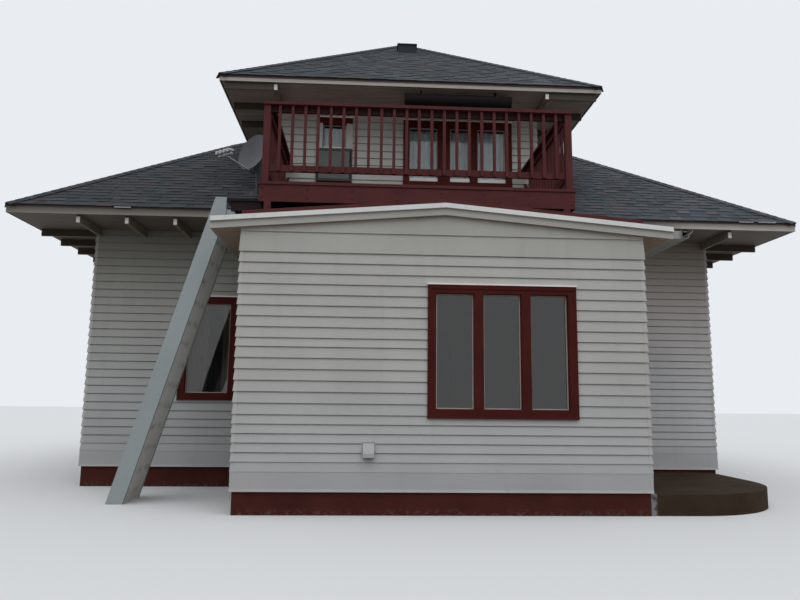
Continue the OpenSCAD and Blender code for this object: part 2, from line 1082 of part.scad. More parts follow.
module deck() {
  depth = deck_front + deck_nose - deck_back;
  n = round((depth + deck_gap) / (deck_board_w + deck_gap));
  board = (depth + deck_gap) / n - deck_gap;
  color(red)
    on_front()
      for (i = [0:n - 1])
        translate([deck_left - deck_nose,
                   -deck_front - deck_nose + i * (board + deck_gap),
                   deck_z - deck_board_t])
          cube([deck_w + 2 * deck_nose, board, deck_board_t]);
}

// rims, joists and the short posts that stand on the low roof
module deck_frame() {
  joists = 7;
  step = (deck_w - lumber_t) / joists;
  frame_d = deck_front - deck_back;
  color(red)
    on_front() {
      translate([deck_left, -deck_front, deck_under]) {
        cube([deck_w, lumber_t, joist_h]);
        translate([0, frame_d - lumber_t, 0])
          cube([deck_w, lumber_t, joist_h]);
        for (i = [0:joists])
          translate([i * step, 0, 0])
            cube([lumber_t, frame_d, joist_h]);
      }
      difference() {
        for (x = [deck_left + 70, deck_x - deck_w / 6, deck_x + deck_w / 6,
                  deck_left + deck_w - 70 - post_w], y = [-deck_front, -deck_back - post_w])
          block(x, x + post_w, y, y + post_w, ext_peak_z - post_sink, deck_under);
        across(-ext_d, 0)
          ext_roof_profile(ext_roof_w / 2, 0, 2 * post_sink);
      }
    }
}

rail_foot = deck_z + bottom_rail_gap;

module rail_post(x) {
  block(x, x + post_w, -deck_front, -deck_front + post_w, deck_z, cap_z);
}

module front_railing() {
  y0 = -deck_front + lumber_t;
  step = (rail_w - post_w) / bay_n;
  color(red)
    on_front() {
      rail_post(rail_left);
      rail_post(rail_left + rail_w - post_w);
      block(rail_left - 5, rail_left + rail_w + 5, -deck_front - 25,
            -deck_front - 25 + cap_w, cap_z, cap_z + cap_t);
      block(rail_left + post_w, rail_left + rail_w - post_w, y0, y0 + lumber_t, rail_z,
            cap_z);
      block(rail_left + post_w, rail_left + rail_w - post_w, y0, y0 + lumber_t,
            rail_foot, rail_foot + rail_member_h);
      for (i = [1:bay_n - 1])
        translate([rail_left + (post_w - lumber_t) / 2 + i * step, -deck_front, rail_foot])
          cube([lumber_t, lumber_t, cap_z - rail_foot]);
    }
}

// height of the main roof's front slope at y
function pent_z(y) = main_eave_top + pitch * (y + main_overhang);

// the bottom rail runs level over the deck and then climbs the roof slope to the wall
module side_railing() {
  lift = 15;
  y1 = -deck_front + post_w;
  low = rail_foot;
  bend = (low - lift - main_eave_top) / pitch - main_overhang;
  length = deck_front - post_w;
  n = round(length / baluster_pitch);
  step = length / n;
  x_rail = rail_left + lumber_t;
  block(rail_left - 5, rail_left - 5 + cap_w, -deck_front - 25 + cap_w, 0, cap_z,
        cap_z + cap_t);
  block(x_rail, x_rail + lumber_t, y1, 0, rail_z, cap_z);
  along(x_rail, x_rail + lumber_t)
    polygon([[y1, low], [bend, low], [0, pent_z(0) + lift],
             [0, pent_z(0) + lift + rail_member_h * 1.25],
             [bend - 28, low + rail_member_h], [y1, low + rail_member_h]]);
  for (i = [1:n - 1]) {
    y = y1 + i * step - lumber_t;
    block(rail_left, rail_left + lumber_t, y, y + lumber_t,
          max(low, pent_z(y + lumber_t) + lift), cap_z);
  }
}

module left_railing() {
  color(red)
    on_front()
      side_railing();
}

module right_railing() {
  color(red)
    on_front()
      translate([2 * deck_x, 0, 0])
        mirror([1, 0, 0])
          side_railing();
}

// ---- landing and ladder ----

// boards with a rim, on short posts that stand on the low roof
module roof_landing() {
  post = 60;
  under = landing_z - deck_board_t;
  color(red)
    on_front() {
      block(landing_left, landing_right, -ladder_y, -deck_back, under, landing_z);
      block(landing_left + 60, landing_right, -ladder_y + 20, -ladder_y + 20 + lumber_t,
            under - 140, under);
      difference() {
        for (x = [(landing_left + landing_right - post) / 2 + post_right,
                  landing_right - post - 20],
             y = [-ladder_y + 20 + lumber_t, -deck_back - post - 20])
          block(x, x + post, y, y + post, ext_peak_z - post_sink, under);
        across(-ext_d, 0)
          ext_roof_profile(ext_roof_w / 2, 0, 2 * post_sink);
      }
    }
}

// x of the front edge of a stringer at the height z
function stringer_x(z) = landing_left - (landing_z - plumb_h - z) / tan(ladder_lean);

module stringer_profile() {
  top = landing_z + 10;
  polygon([[stringer_x(0) - stringer_run, 0], [stringer_x(0), 0],
           [landing_left, landing_z - plumb_h], [landing_left, top],
           [stringer_x(top) - stringer_run, top]]);
}

module ladder_stringers() {
  color(white)
    on_front()
      for (y = [-ladder_y, -ladder_y + stringer_t + tread_l])
        across(y, y + stringer_t)
          stringer_profile();
}

module ladder_treads() {
  color(white)
    on_front()
      for (i = [1:rises - 1]) {
        z = i * tread_rise;
        block(stringer_x(z) - stringer_run + 8, stringer_x(z - tread_t) - back_in - back_run,
              -ladder_y + stringer_t, -ladder_y + stringer_t + tread_l, z - tread_t, z);
      }
}

// a board that closes the ladder behind its treads
module ladder_back() {
  top = landing_z - plumb_h;
  x0 = stringer_x(0) - back_in;
  x1 = stringer_x(top) - back_in;
  color(white)
    on_front()
      across(-ladder_y + stringer_t, -ladder_y + stringer_t + tread_l)
        polygon([[x0 - back_run, 0], [x0, 0], [x1, top], [x1 - back_run, top]]);
}

// ---- stoop and fittings ----

module stoop() {
  color(concrete)
    on_front()
      linear_extrude(height = stoop_h)
        difference() {
          translate([ext_right - foundation_inset, -stoop_d])
            square([stoop_w + foundation_inset, stoop_d + foundation_inset]);
          translate([ext_right + stoop_w - stoop_r, -stoop_d + stoop_r])
            difference() {
              translate([0, -stoop_r - 1])
                square([stoop_r + 1, stoop_r + 1]);
              circle(r = stoop_r, $fn = 96);
            }
        }
}

dish_x = deck_left - dish_out;
dish_y = -500;
dish_depth = 60;
// radius of the ball that the dish is cut from
dish_ball = (dish_d * dish_d / 4 + dish_depth * dish_depth) / (2 * dish_depth);
dish_back = 55;
// the dish looks forward and to the left, a little upwards; its rim is at z = 0
module at_dish() {
  translate([dish_x, dish_y, dish_z])
    rotate([0, 0, -38])
      rotate([78, 0, 0])
        children();
}

module dish_reflector() {
  sheet = 5;
  edge = asin(dish_d / 2 / dish_ball);
  steps = 8;
  color("#55555a")
    on_front()
      at_dish()
        translate([0, 0, dish_ball - dish_depth])
          rotate_extrude($fn = 96)
            polygon(concat(
              [for (i = [0:steps])
                dish_ball * [sin(i * edge / steps), -cos(i * edge / steps)]],
              [for (i = [steps:-1:0])
                (dish_ball - sheet) * [sin(i * edge / steps), -cos(i * edge / steps)]]));
}

// a mast on the roof, the arm under the dish and its receivers
module dish_mount() {
  tube = 42;
  plate = 180;
  plate_t = 12;
  arm_d = 28;
  arm_l = 560;
  arm_y = -dish_d / 2 - arm_d / 2;
  mast_x = dish_x + 74;
  mast_y = dish_y + 95;
  color("#8d8d90")
    on_front() {
      difference() {
        union() {
          translate([mast_x, mast_y, 0])
            cylinder(d = tube, h = dish_z);
          intersection() {
            block(mast_x - plate / 2, mast_x + plate / 2, mast_y - plate / 2,
                  mast_y + plate / 2, 0, dish_z);
            translate([0, 0, plate_t])
              main_solid();
          }
        }
        main_solid();
      }
      at_dish() {
        translate([0, 0, -dish_depth - dish_back - 30])
          cylinder(d = 90, h = dish_back + 30);
        translate([0, arm_y, -dish_depth - dish_back])
          cylinder(d = arm_d, h = arm_l + dish_depth);
        translate([0, arm_y, -dish_depth - dish_back])
          rotate([-90, 0, 0])
            cylinder(d = arm_d, h = -arm_y);
        translate([-150, arm_y, arm_l - 70])
          rotate([0, 90, 0])
            cylinder(d = arm_d, h = 300);
        for (x = [-125, -45, 45, 125])
          translate([x, arm_y, arm_l - 70])
            rotate([-60, 0, 0]) {
              cylinder(d = 30, h = 70);
              translate([0, 0, 50])
                rotate([-100, 0, 0])
                  translate([0, 0, -60])
                    cylinder(d = 56, h = 110);
            }
      }
    }
}

// a hood over the end of a duct, open below
module air_vent() {
  h = 200;
  out = 85;
  x0 = -hood_x - hood_w / 2;
  z0 = 667;
  color("#c4c6c4")
    on_front()
      translate([0, -ext_d, z0])
        difference() {
          union() {
            block(x0, x0 + hood_w, -8, 0, 0, h);
            along(x0 + 12, x0 + hood_w - 12)
              polygon([[0, 20], [-out, 20], [-out, 70], [-40, h - 15], [0, h - 15]]);
          }
          along(x0 + 18, x0 + hood_w - 18)
            polygon([[-8, 0], [-out + 6, 0], [-out + 6, 68], [-38, h - 22], [-8, h - 22]]);
        }
}

// a sun shade rolled up in front of the wall, hung by two straps from the eave
module sun_shade() {
  x0 = -125;
  y = -upper_overhang + 130;
  drop = 60;
  color("#1c1a1a")
    on_front() {
      translate([x0, y, upper_eave_z - drop - shade_d / 2])
        rotate([0, 90, 0])
          cylinder(d = shade_d, h = shade_l);
      for (x = [x0 + 0.15 * shade_l, x0 + 0.85 * shade_l])
        block(x - 15, x + 15, y - 20, y + 20, upper_eave_z - drop - shade_d / 2,
              upper_eave_z);
    }
}

main_foundation();
main_floor();
front_wall();
left_wall();
right_wall();
back_wall();
upper_floor();
upper_front_wall();
upper_back_wall();
cheek_walls();
main_roof();
main_soffit();
main_fascia();
upper_roof();
upper_soffit();
upper_fascia();
upper_frieze();
eave_brackets();
ridge_vent();
extension_foundation();
extension_floor();
extension_front_wall();
extension_left_wall();
extension_right_wall();
extension_roof();
extension_fascia();
roof_edge_strip();
gutter();
extension_window();
front_window();
left_windows();
right_windows();
back_windows();
upper_front_windows();
upper_back_windows();
window_sashes();
ground_glass();
upper_glass();
side_door();
deck();
deck_frame();
front_railing();
left_railing();
right_railing();
roof_landing();
ladder_stringers();
ladder_treads();
ladder_back();
stoop();
dish_reflector();
dish_mount();
air_vent();
sun_shade();
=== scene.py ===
"""A white clapboard house with a steep shingled hip roof, an upper storey that rises through
it, a low extension, a red roof deck and a white ladder. Metres; the front looks along -Y."""

import math
import random

import bmesh
import bpy
from mathutils import Matrix, Vector


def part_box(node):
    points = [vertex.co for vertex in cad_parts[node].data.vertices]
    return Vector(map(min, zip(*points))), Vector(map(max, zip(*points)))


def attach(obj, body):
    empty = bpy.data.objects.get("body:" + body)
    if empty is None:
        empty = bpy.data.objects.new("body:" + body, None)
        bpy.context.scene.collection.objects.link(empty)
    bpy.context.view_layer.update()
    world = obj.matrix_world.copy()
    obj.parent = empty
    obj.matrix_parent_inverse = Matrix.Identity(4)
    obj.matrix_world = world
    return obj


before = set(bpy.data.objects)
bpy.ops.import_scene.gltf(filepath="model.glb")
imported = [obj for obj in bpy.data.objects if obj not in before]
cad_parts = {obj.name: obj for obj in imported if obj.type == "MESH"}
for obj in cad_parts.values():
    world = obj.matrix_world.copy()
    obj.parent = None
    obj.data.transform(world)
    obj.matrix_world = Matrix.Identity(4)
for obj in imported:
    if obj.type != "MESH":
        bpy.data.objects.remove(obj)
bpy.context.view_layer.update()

bl_info = {
    "name": "Clapboard House",
    "version": (1, 0, 0),
    "blender": (4, 5, 0),
    "location": "View3D > Sidebar > House",
    "description": "Siding, shingles, trim and finishes for a clapboard house",
    "category": "Object",
}

# ---- places read from the frame ----


def low(node, axis):
    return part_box(node)[0]["xyz".index(axis)]


def high(node, axis):
    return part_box(node)[1]["xyz".index(axis)]


PITCH = 8.9 / 12
SLOPE = math.atan(PITCH)
FASCIA_TALL, UPPER_FASCIA_TALL = 0.14, 0.115
FRONT = low("front_wall", "y")
BACK = high("back_wall", "y")
LEFT = low("left_wall", "x")
RIGHT = high("right_wall", "x")
MIDDLE = (FRONT + BACK) / 2
WALL_FOOT = low("front_wall", "z")
EAVE_UNDER = low("main_soffit", "z")
EAVE_OUT = high("main_fascia", "x")
EAVE_TOP = low("main_fascia", "z") + FASCIA_TALL
UPPER_LEFT = low("upper_front_wall", "x")
UPPER_RIGHT = high("upper_front_wall", "x")
UPPER_EAVE_UNDER = low("upper_soffit", "z")
UPPER_EAVE_OUT = high("upper_fascia", "x")
UPPER_EAVE_FRONT = low("upper_fascia", "y")
UPPER_EAVE_TOP = UPPER_EAVE_UNDER + UPPER_FASCIA_TALL
EXT_LEFT = low("extension_front_wall", "x")
EXT_RIGHT = high("extension_front_wall", "x")
EXT_FRONT = low("extension_front_wall", "y")
EXT_FOOT = low("extension_front_wall", "z")
EXT_PEAK = high("extension_roof", "z")
EXT_MIDDLE = (EXT_LEFT + EXT_RIGHT) / 2
EXT_PITCH = 1 / 12
EXT_ROOF_THICK = 0.15
DECK_TOP = high("deck", "z")

# rectangles that boards go round, as x0, x1, y0, y1
EXT_RECT = (EXT_LEFT, EXT_RIGHT, EXT_FRONT, FRONT + 0.4)
MAIN_RECT = (LEFT, RIGHT, FRONT, BACK)
UPPER_RECT = (UPPER_LEFT, UPPER_RIGHT, FRONT, BACK)

# the foot of the lowest clapboard and how many courses there are; the extension's boards
# aren't all as wide, so its courses are given as (foot, top, count)
LEFT_FOOT, LEFT_COURSES = 0.664, 27
RIGHT_FOOT, RIGHT_COURSES = 0.680, 30
UPPER_FOOT, UPPER_COURSES = EAVE_TOP + PITCH * 0.97 - 0.02, 12
EXT_RUNS = ((0.626, 1.190, 5), (1.190, 2.018, 6), (2.018, 2.128, 1), (2.128, 3.208, 8))
EXT_LAP_TOP = EXT_RUNS[-1][1]
EXT_BOARD_TOP = 3.471

# the left edge and the width of each pane, from the middle of its window
TRIPLE_PANES = ((-0.841, 0.482), (-0.241, 0.482), (0.359, 0.482))
SINGLE_PANES = ((-0.3415, 0.683),)
HUNG_PANES = ((-0.200, 0.400),)
UPPER_PANES = ((-0.8305, 0.490), (-0.1345, 0.345), (0.3405, 0.490))
FRAME_WIDTH = 0.105
HUNG_WIDE, UPPER_TRIPLE_WIDE = 0.61, 1.871
WALL_THICK, EXT_WALL_THICK = 0.18, 0.15


# ---- sizes and colours ----


def linear(code):
    """An sRGB hex colour as linear red, green and blue."""
    parts = [int(code[i:i + 2], 16) / 255 for i in (1, 3, 5)]
    return tuple(p / 12.92 if p <= 0.04045 else ((p + 0.055) / 1.055) ** 2.4 for p in parts)


def swatch(label, code, text):
    return bpy.props.FloatVectorProperty(
        name=label, description=text, subtype="COLOR", size=3, min=0, max=1,
        default=linear(code))


def length(label, value, text):
    return bpy.props.FloatProperty(
        name=label, description=text, default=value, min=0, subtype="DISTANCE",
        unit="LENGTH")


class HouseSizes(bpy.types.PropertyGroup):
    lap: length("Lap", 0.1286, "Height of a clapboard that shows")
    right_lap: length("Right lap", 0.116, "The same on the right side of the main block")
    butt: length("Butt", 0.017, "How far a clapboard's lower edge stands out")
    lap_top: length("Upper edge", 0.003, "How far a clapboard's upper edge stands out")
    cap: length("Corner cap", 0.032, "Width of the metal caps on the corners")
    shingle: length("Shingle", 3.8 / 28, "Length of a shingle that shows, up the slope")
    tab_thick: length("Tab", 0.013, "Thickness of a raised shingle tab")
    base_thick: length("Shingle base", 0.007, "Thickness of a shingle between its tabs")
    drip: length("Drip edge", 0.028, "How far the shingles hang over the eaves")


class HouseColours(bpy.types.PropertyGroup):
    siding: swatch("Siding", "#a9a9a5", "White house paint on clapboards")
    cap: swatch("Corner caps", "#b0aeac", "White metal corner caps")
    trim: swatch("Trim", "#c6c7c6", "White metal along the roof edge")
    eaves: swatch("Eave boards", "#b0aca6", "White paint on the outer boards of the eaves")
    red: swatch("Red paint", "#461915", "Dark red paint on window frames")
    deck: swatch("Deck paint", "#562d2e", "Faded red paint on the deck and its railing")
    foundation: swatch("Foundation", "#47201b", "Dark red paint on concrete")
    soffit: swatch("Soffit", "#655a51", "Brown stain on the boards under the eaves")
    shingles: swatch("Shingles", "#333a40", "Slate grey mineral granules")
    concrete: swatch("Concrete", "#3d3127", "Bare weathered concrete")


def sizes():
    return bpy.context.scene.house_sizes


# ---- picking and shaping ----


def clear():
    if bpy.context.mode != "OBJECT":
        bpy.ops.object.mode_set(mode="OBJECT")
    bpy.ops.object.select_all(action="DESELECT")


def take(*pieces):
    clear()
    for piece in pieces:
        piece.select_set(True)
    bpy.context.view_layer.objects.active = pieces[0]


def named(piece, name):
    piece.name = piece.data.name = name
    return piece


def settle(name):
    """Puts a new piece's place, turn and size into its mesh."""
    piece = bpy.context.object
    take(piece)
    bpy.ops.object.transform_apply(location=True, rotation=True, scale=True)
    return named(piece, name)


def edit(piece):
    """Opens a piece for editing, with all of it selected."""
    take(piece)
    bpy.ops.object.mode_set(mode="EDIT")
    bpy.ops.mesh.select_all(action="SELECT")


def leave(piece):
    bpy.ops.object.mode_set(mode="OBJECT")
    return piece


def pick(piece, kind, test):
    """In edit mode, selects the vertices or faces whose middle passes the test."""
    bpy.ops.mesh.select_mode(type={"verts": "VERT", "faces": "FACE"}[kind])
    bpy.ops.mesh.select_all(action="DESELECT")
    mesh = bmesh.from_edit_mesh(piece.data)
    for part in getattr(mesh, kind):
        if test(part.co if kind == "verts" else part.calc_center_median()):
            part.select_set(True)
    mesh.select_flush_mode()
    bmesh.update_edit_mesh(piece.data)


def shift(piece, test, by):
    pick(piece, "verts", test)
    bpy.ops.transform.translate(value=by)


def box(name, x0, x1, y0, y1, z0, z1):
    clear()
    bpy.ops.mesh.primitive_cube_add(
        size=1, location=((x0 + x1) / 2, (y0 + y1) / 2, (z0 + z1) / 2),
        scale=(x1 - x0, y1 - y0, z1 - z0))
    return settle(name)


def wedge(name, corners, test, by):
    """A box with the corners that pass the test moved."""
    piece = box(name, *corners)
    edit(piece)
    shift(piece, test, by)
    return leave(piece)


def rod(name, start, end, radius, sides=16):
    """A round bar between two points."""
    start, end = Vector(start), Vector(end)
    clear()
    bpy.ops.mesh.primitive_cylinder_add(
        vertices=sides, radius=radius, depth=(end - start).length,
        location=(start + end) / 2,
        rotation=(end - start).to_track_quat("Z", "Y").to_euler())
    return settle(name)


def hollow_plate(name, middle, turn, size, thick, depth):
    """A flat rectangle, opened to a rim of this thickness and extruded; left in edit mode."""
    clear()
    bpy.ops.mesh.primitive_plane_add(size=1, location=middle, rotation=turn)
    bpy.context.object.scale = (*size, 1)
    piece = settle(name)
    edit(piece)
    bpy.ops.mesh.inset(thickness=thick)
    bpy.ops.mesh.delete(type="FACE")
    bpy.ops.mesh.select_all(action="SELECT")
    bpy.ops.mesh.extrude_region_move(TRANSFORM_OT_translate={"value": depth})
    return piece


def apply(piece, kind, **values):
    """Adds a modifier and applies it."""
    take(piece)
    modifier = piece.modifiers.new(kind.lower(), kind)
    for key, value in values.items():
        setattr(modifier, key, value)
    bpy.ops.object.modifier_apply(modifier=modifier.name)
    return piece


def soften(piece, width):
    return apply(piece, "BEVEL", width=width, segments=2, limit_method="ANGLE",
                 angle_limit=math.radians(40))


def stack(piece, count, rise):
    """Repeats a piece upwards."""
    return apply(piece, "ARRAY", count=count, use_relative_offset=False,
                 use_constant_offset=True, constant_offset_displace=(0, 0, rise))


def carve(piece, cutter, how="DIFFERENCE"):
    apply(piece, "BOOLEAN", object=cutter, operation=how, solver="EXACT")
    bpy.data.objects.remove(cutter)
    return piece


def slice_off(piece, point, normal):
    """Takes away what lies beyond a plane, and closes the cut."""
    edit(piece)
    bpy.ops.mesh.bisect(plane_co=point, plane_no=normal, use_fill=True, clear_outer=True)
    return leave(piece)


def join(name, pieces):
    take(*pieces)
    if len(pieces) > 1:
        bpy.ops.object.join()
    return named(bpy.context.object, name)


def outward(piece):
    """Turns the faces of closed shells to the outside."""
    edit(piece)
    bpy.ops.mesh.normals_make_consistent(inside=False)
    return leave(piece)


def set_tone(mesh, tone):
    """Gives every face the tone that the shingles' finish reads, from 0 to 1."""
    values = mesh.attributes.new("tone", "FLOAT", "FACE").data
    values.foreach_set("value", [tone] * len(values))


def lay(name, part, places, tones=None):
    """Copies one part to many places, each copy with its own mesh, and joins them."""
    clear()
    for i, place in enumerate(places):
        one = part.copy()
        one.data = part.data.copy()
        one.data.transform(place)
        if tones:
            set_tone(one.data, tones[i])
        bpy.context.collection.objects.link(one)
        one.select_set(True)
        bpy.context.view_layer.objects.active = one
    bpy.data.objects.remove(part)
    bpy.ops.object.join()
    return named(bpy.context.object, name)


def dress(piece, paint):
    """Gives a finished piece its finish and its body."""
    piece.data.materials.clear()
    piece.data.materials.append(finish(paint))
    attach(piece, "root")
    return piece


# ---- finishes ----

GRAIN = 0.55  # how rough most noise is, from one of its scales to the next
TREAD_RISE = 0.282  # of the ladder


def add(tree, kind, inputs=(), out=0, **settings):
    """Adds a node with its settings and links, and gives the output asked for. The inputs
    are values or other nodes' outputs, in the sockets' order or by name."""
    made = tree.nodes.new("ShaderNode" + kind)
    for key, value in settings.items():
        setattr(made, key, value)
    for key, value in inputs.items() if isinstance(inputs, dict) else enumerate(inputs):
        socket = made.inputs[key]
        if isinstance(value, bpy.types.NodeSocket):
            tree.links.new(value, socket)
        elif socket.type == "RGBA":
            socket.default_value = (*value[:3], 1)
        else:
            socket.default_value = value
    return made.outputs[out] if made.outputs else made


def blank(name):
    """A new material, its empty tree and the coordinates that its patterns read."""
    material = bpy.data.materials.new(name)
    material.use_nodes = True
    tree = material.node_tree
    tree.nodes.clear()
    return material, tree, add(tree, "TexCoord", out="Object")


def times(colour, factor):
    return tuple(c * factor for c in colour)


def stained(tree, shade, colour, *masks):
    """Lays a colour over a shade, as strongly as its masks multiplied say."""
    mask = masks[0]
    for other in masks[1:]:
        mask = add(tree, "Math", (mask, other), operation="MULTIPLY")
    return add(tree, "Mix", {0: mask, 6: shade, 7: colour}, 2, data_type="RGBA")


def dimmed(tree, shade, *factors):
    """Multiplies a shade by greys or colours, one after the other."""
    for factor in factors:
        shade = add(tree, "Mix", {0: 1.0, 6: shade, 7: factor}, 2, data_type="RGBA",
                    blend_type="MULTIPLY")
    return shade


def patches(tree, place, scale, detail, start, end, least=0, most=1, rough=GRAIN):
    """Soft random patches: noise from start to end is spread from least to most."""
    noise = add(tree, "TexNoise", {"Vector": place, "Scale": scale, "Detail": detail,
                                   "Roughness": rough})
    return add(tree, "MapRange", (noise, start, end, least, most))


def mottled(tree, place, colour, scale, detail, start, end, dark, light, rough=GRAIN):
    """A colour that drifts in patches between a darker and a lighter shade of it."""
    mask = patches(tree, place, scale, detail, start, end, rough=rough)
    return stained(tree, times(colour, dark), times(colour, light), mask)


def strokes(tree, place, stretch, detail):
    """Noise drawn out into strokes, streaks or fibres."""
    along = add(tree, "Mapping", {"Vector": place, "Scale": stretch})
    return add(tree, "TexNoise", {"Vector": along, "Detail": detail, "Scale": 1.0,
                                  "Roughness": GRAIN})


def through_repeat(tree, value, length, how="FRACT"):
    """How far a value is through its repeat of this length, from 0 to 1, or with FLOOR how
    many repeats come before."""
    count = add(tree, "Math", (value, length), operation="DIVIDE")
    return add(tree, "Math", (count,), operation=how)


def coat(made, shade, rough, relief, **more):
    """Ends a material: its shade and roughness, its relief as (height, distance, strength),
    where the height is a node's output or the scale and detail of noise, and any other
    socket of the shader by its name with _ for a space."""
    material, tree, place = made
    height, distance, strength = relief
    if isinstance(height, tuple):
        height = add(tree, "TexNoise", {"Vector": place, "Scale": height[0],
                                        "Detail": height[1], "Roughness": GRAIN})
    bump = add(tree, "Bump", {"Height": height, "Distance": distance,
                              "Strength": strength})
    shader = add(tree, "BsdfPrincipled", {
        "Base Color": shade, "Roughness": rough, "Normal": bump,
        **{key.replace("_", " "): value for key, value in more.items()}})
    add(tree, "OutputMaterial", {"Surface": shader})
    return material


def house_paint(name, colour, runs=(), tint=None):
    """White oil paint on clapboards, brushed, some years old: chalky, with a few thin streaks
    of grime, and painted shade in a dark band along each lap's lower edge. runs are the lapped
    courses as (foot, top, count); tint is a change of colour from low on the wall to high up,
    and between which heights: on the main block it darkens the walls' tops as painted shade
    under the eaves."""
    made = _, tree, place = blank(name)
    shade = mottled(tree, place, colour, 0.9, 4, 0.35, 0.7, 0.93, 1.05)
    streaks = add(tree, "MapRange", (strokes(tree, place, (7, 7, 0.5), 6), 0.56, 0.80))
    shade = stained(tree, shade, linear("#6f6c66"), streaks, 0.12)
    height = add(tree, "SeparateXYZ", (place,), "Z")
    if runs:
        course = 0.0
        for foot, top, count in runs:
            more = add(tree, "MapRange", (height, foot, top, 0, count))
            course = add(tree, "Math", (more, course))
        part = add(tree, "Math", (course,), operation="FRACT")
        # painted shade: a dark band along each lap's lower edge and just under it
        under = [add(tree, "MapRange", (part, *ends)) for ends in ((0.80, 1.0), (0.05, 0.0))]
        under = add(tree, "Math", under, operation="MAXIMUM")
        shade = stained(tree, shade, linear("#3a3a3c"), under, 0.35)
    # the tint; on the main block's walls it darkens the tops as painted shade under the eaves
    if tint:
        foot, top, at_foot, at_top = tint
        eave_shade_and_tint = stained(tree, at_foot, at_top, add(tree, "MapRange", (height, foot, top)))
        shade = dimmed(tree, shade, eave_shade_and_tint)
    # brush marks and wood grain along the boards, 4 mm apart, drawn twice as coarse
    marks = strokes(tree, place, (1.5, 1.5, 120), 3)
    return coat(made, shade, 0.62, (marks, 0.0012, 0.5))


def ladder_back_paint(name, colour):
    """White paint under the ladder, drawn much paler than the ladder's own paint as painted
    light on its shaded back, with a painted shadow of the treads once every tread's rise.
    """
    made = _, tree, place = blank(name)
    height = add(tree, "SeparateXYZ", (place,), "Z")
    part = through_repeat(tree, height, TREAD_RISE)
    near = add(tree, "Math", (part, 0.5), operation="SUBTRACT")
    near = add(tree, "Math", (near,), operation="ABSOLUTE")
    # painted shadow of the treads, once every tread's rise, broken up by the cloud
    tread_shadow = add(tree, "MapRange", (near, 0.22, 0, 0, 0.6))
    cloud = patches(tree, place, 7, 3, 0.40, 0.65)
    shade = stained(tree, colour, linear("#8d9086"), tread_shadow, cloud)
    return coat(made, shade, 0.6, (strokes(tree, place, (9, 60, 9), 3), 0.001, 0.4))


def red_paint(name, colour, along="z", rail_shade=False):
    """Dark red paint on sawn softwood: dull, its grain raised by weather, darker in the pores.
    On the deck's front railing the rail behind the balusters and under the cap is darkened
    as painted shade."""
    made = _, tree, place = blank(name)
    fibres = strokes(tree, place, (2, 60, 60) if along == "x" else (60, 60, 2), 5)
    shade = mottled(tree, place, colour, 3, 4, 0.3, 0.75, 0.82, 1.16)
    pores = add(tree, "MapRange", (fibres, 0.50, 0.72))
    shade = stained(tree, shade, times(colour, 0.5), pores, 0.35)
    # painted shade on the front railing's rail, behind the balusters and under the cap
    if rail_shade:
        y, z = (add(tree, "SeparateXYZ", (place,), axis) for axis in "YZ")
        front, top = low("front_railing", "y"), high("front_railing", "z")
        behind = add(tree, "MapRange", (y, front + 0.050, front + 0.062))
        above = add(tree, "MapRange", (z, top - 0.150, top - 0.135))
        below = add(tree, "MapRange", (z, top - 0.038, top - 0.042))
        shade = stained(tree, shade, times(colour, 0.28), behind, above, below)
    return coat(made, shade, 0.55, (fibres, 0.0015, 0.6), Specular_IOR_Level=0.08)


def painted_concrete(name, colour):
    """Dark red paint on cast concrete: pitted, splashed with pale mud near the ground."""
    made = _, tree, place = blank(name)
    shade = mottled(tree, place, colour, 2.2, 6, 0.3, 0.7, 0.72, 1.15)
    height = add(tree, "SeparateXYZ", (place,), "Z")
    splash = add(tree, "MapRange", (height, 0.10, 0.0))
    speck = patches(tree, place, 26, 3, 0.48, 0.72)
    shade = stained(tree, shade, linear("#5d5148"), splash, speck)
    return coat(made, shade, 0.75, ((45, 6), 0.004, 0.5), Specular_IOR_Level=0.15)


def bare_concrete(name, colour):
    """Trowelled concrete: matt, stained in patches, browner where it is trodden, with fine
    grit and, beside the foundation, an old patch of white paint."""
    made = _, tree, place = blank(name)
    shade = mottled(tree, place, colour, 1.6, 7, 0.32, 0.72, 0.72, 1.28, 0.65)
    shade = dimmed(tree, shade, patches(tree, place, 160, 2, 0.35, 0.7, 0.88, 1.1))
    normal = add(tree, "NewGeometry", out="Normal")
    upward = add(tree, "MapRange", (add(tree, "SeparateXYZ", (normal,), "Z"), 0.5, 0.9))
    shade = stained(tree, shade, dimmed(tree, shade, (0.74, 0.68, 0.60)), upward)
    across = add(tree, "SeparateXYZ", (place,), "X")
    patch = add(tree, "MapRange", (across, EXT_RIGHT + 0.075, EXT_RIGHT + 0.045))
    worn = patches(tree, place, 12, 4, 0.40, 0.55, 0.25, 0.95)
    shade = stained(tree, shade, linear("#8b8a90"), patch, worn)
    return coat(made, shade, 0.9, ((70, 8), 0.003, 0.6), Specular_IOR_Level=0.1)


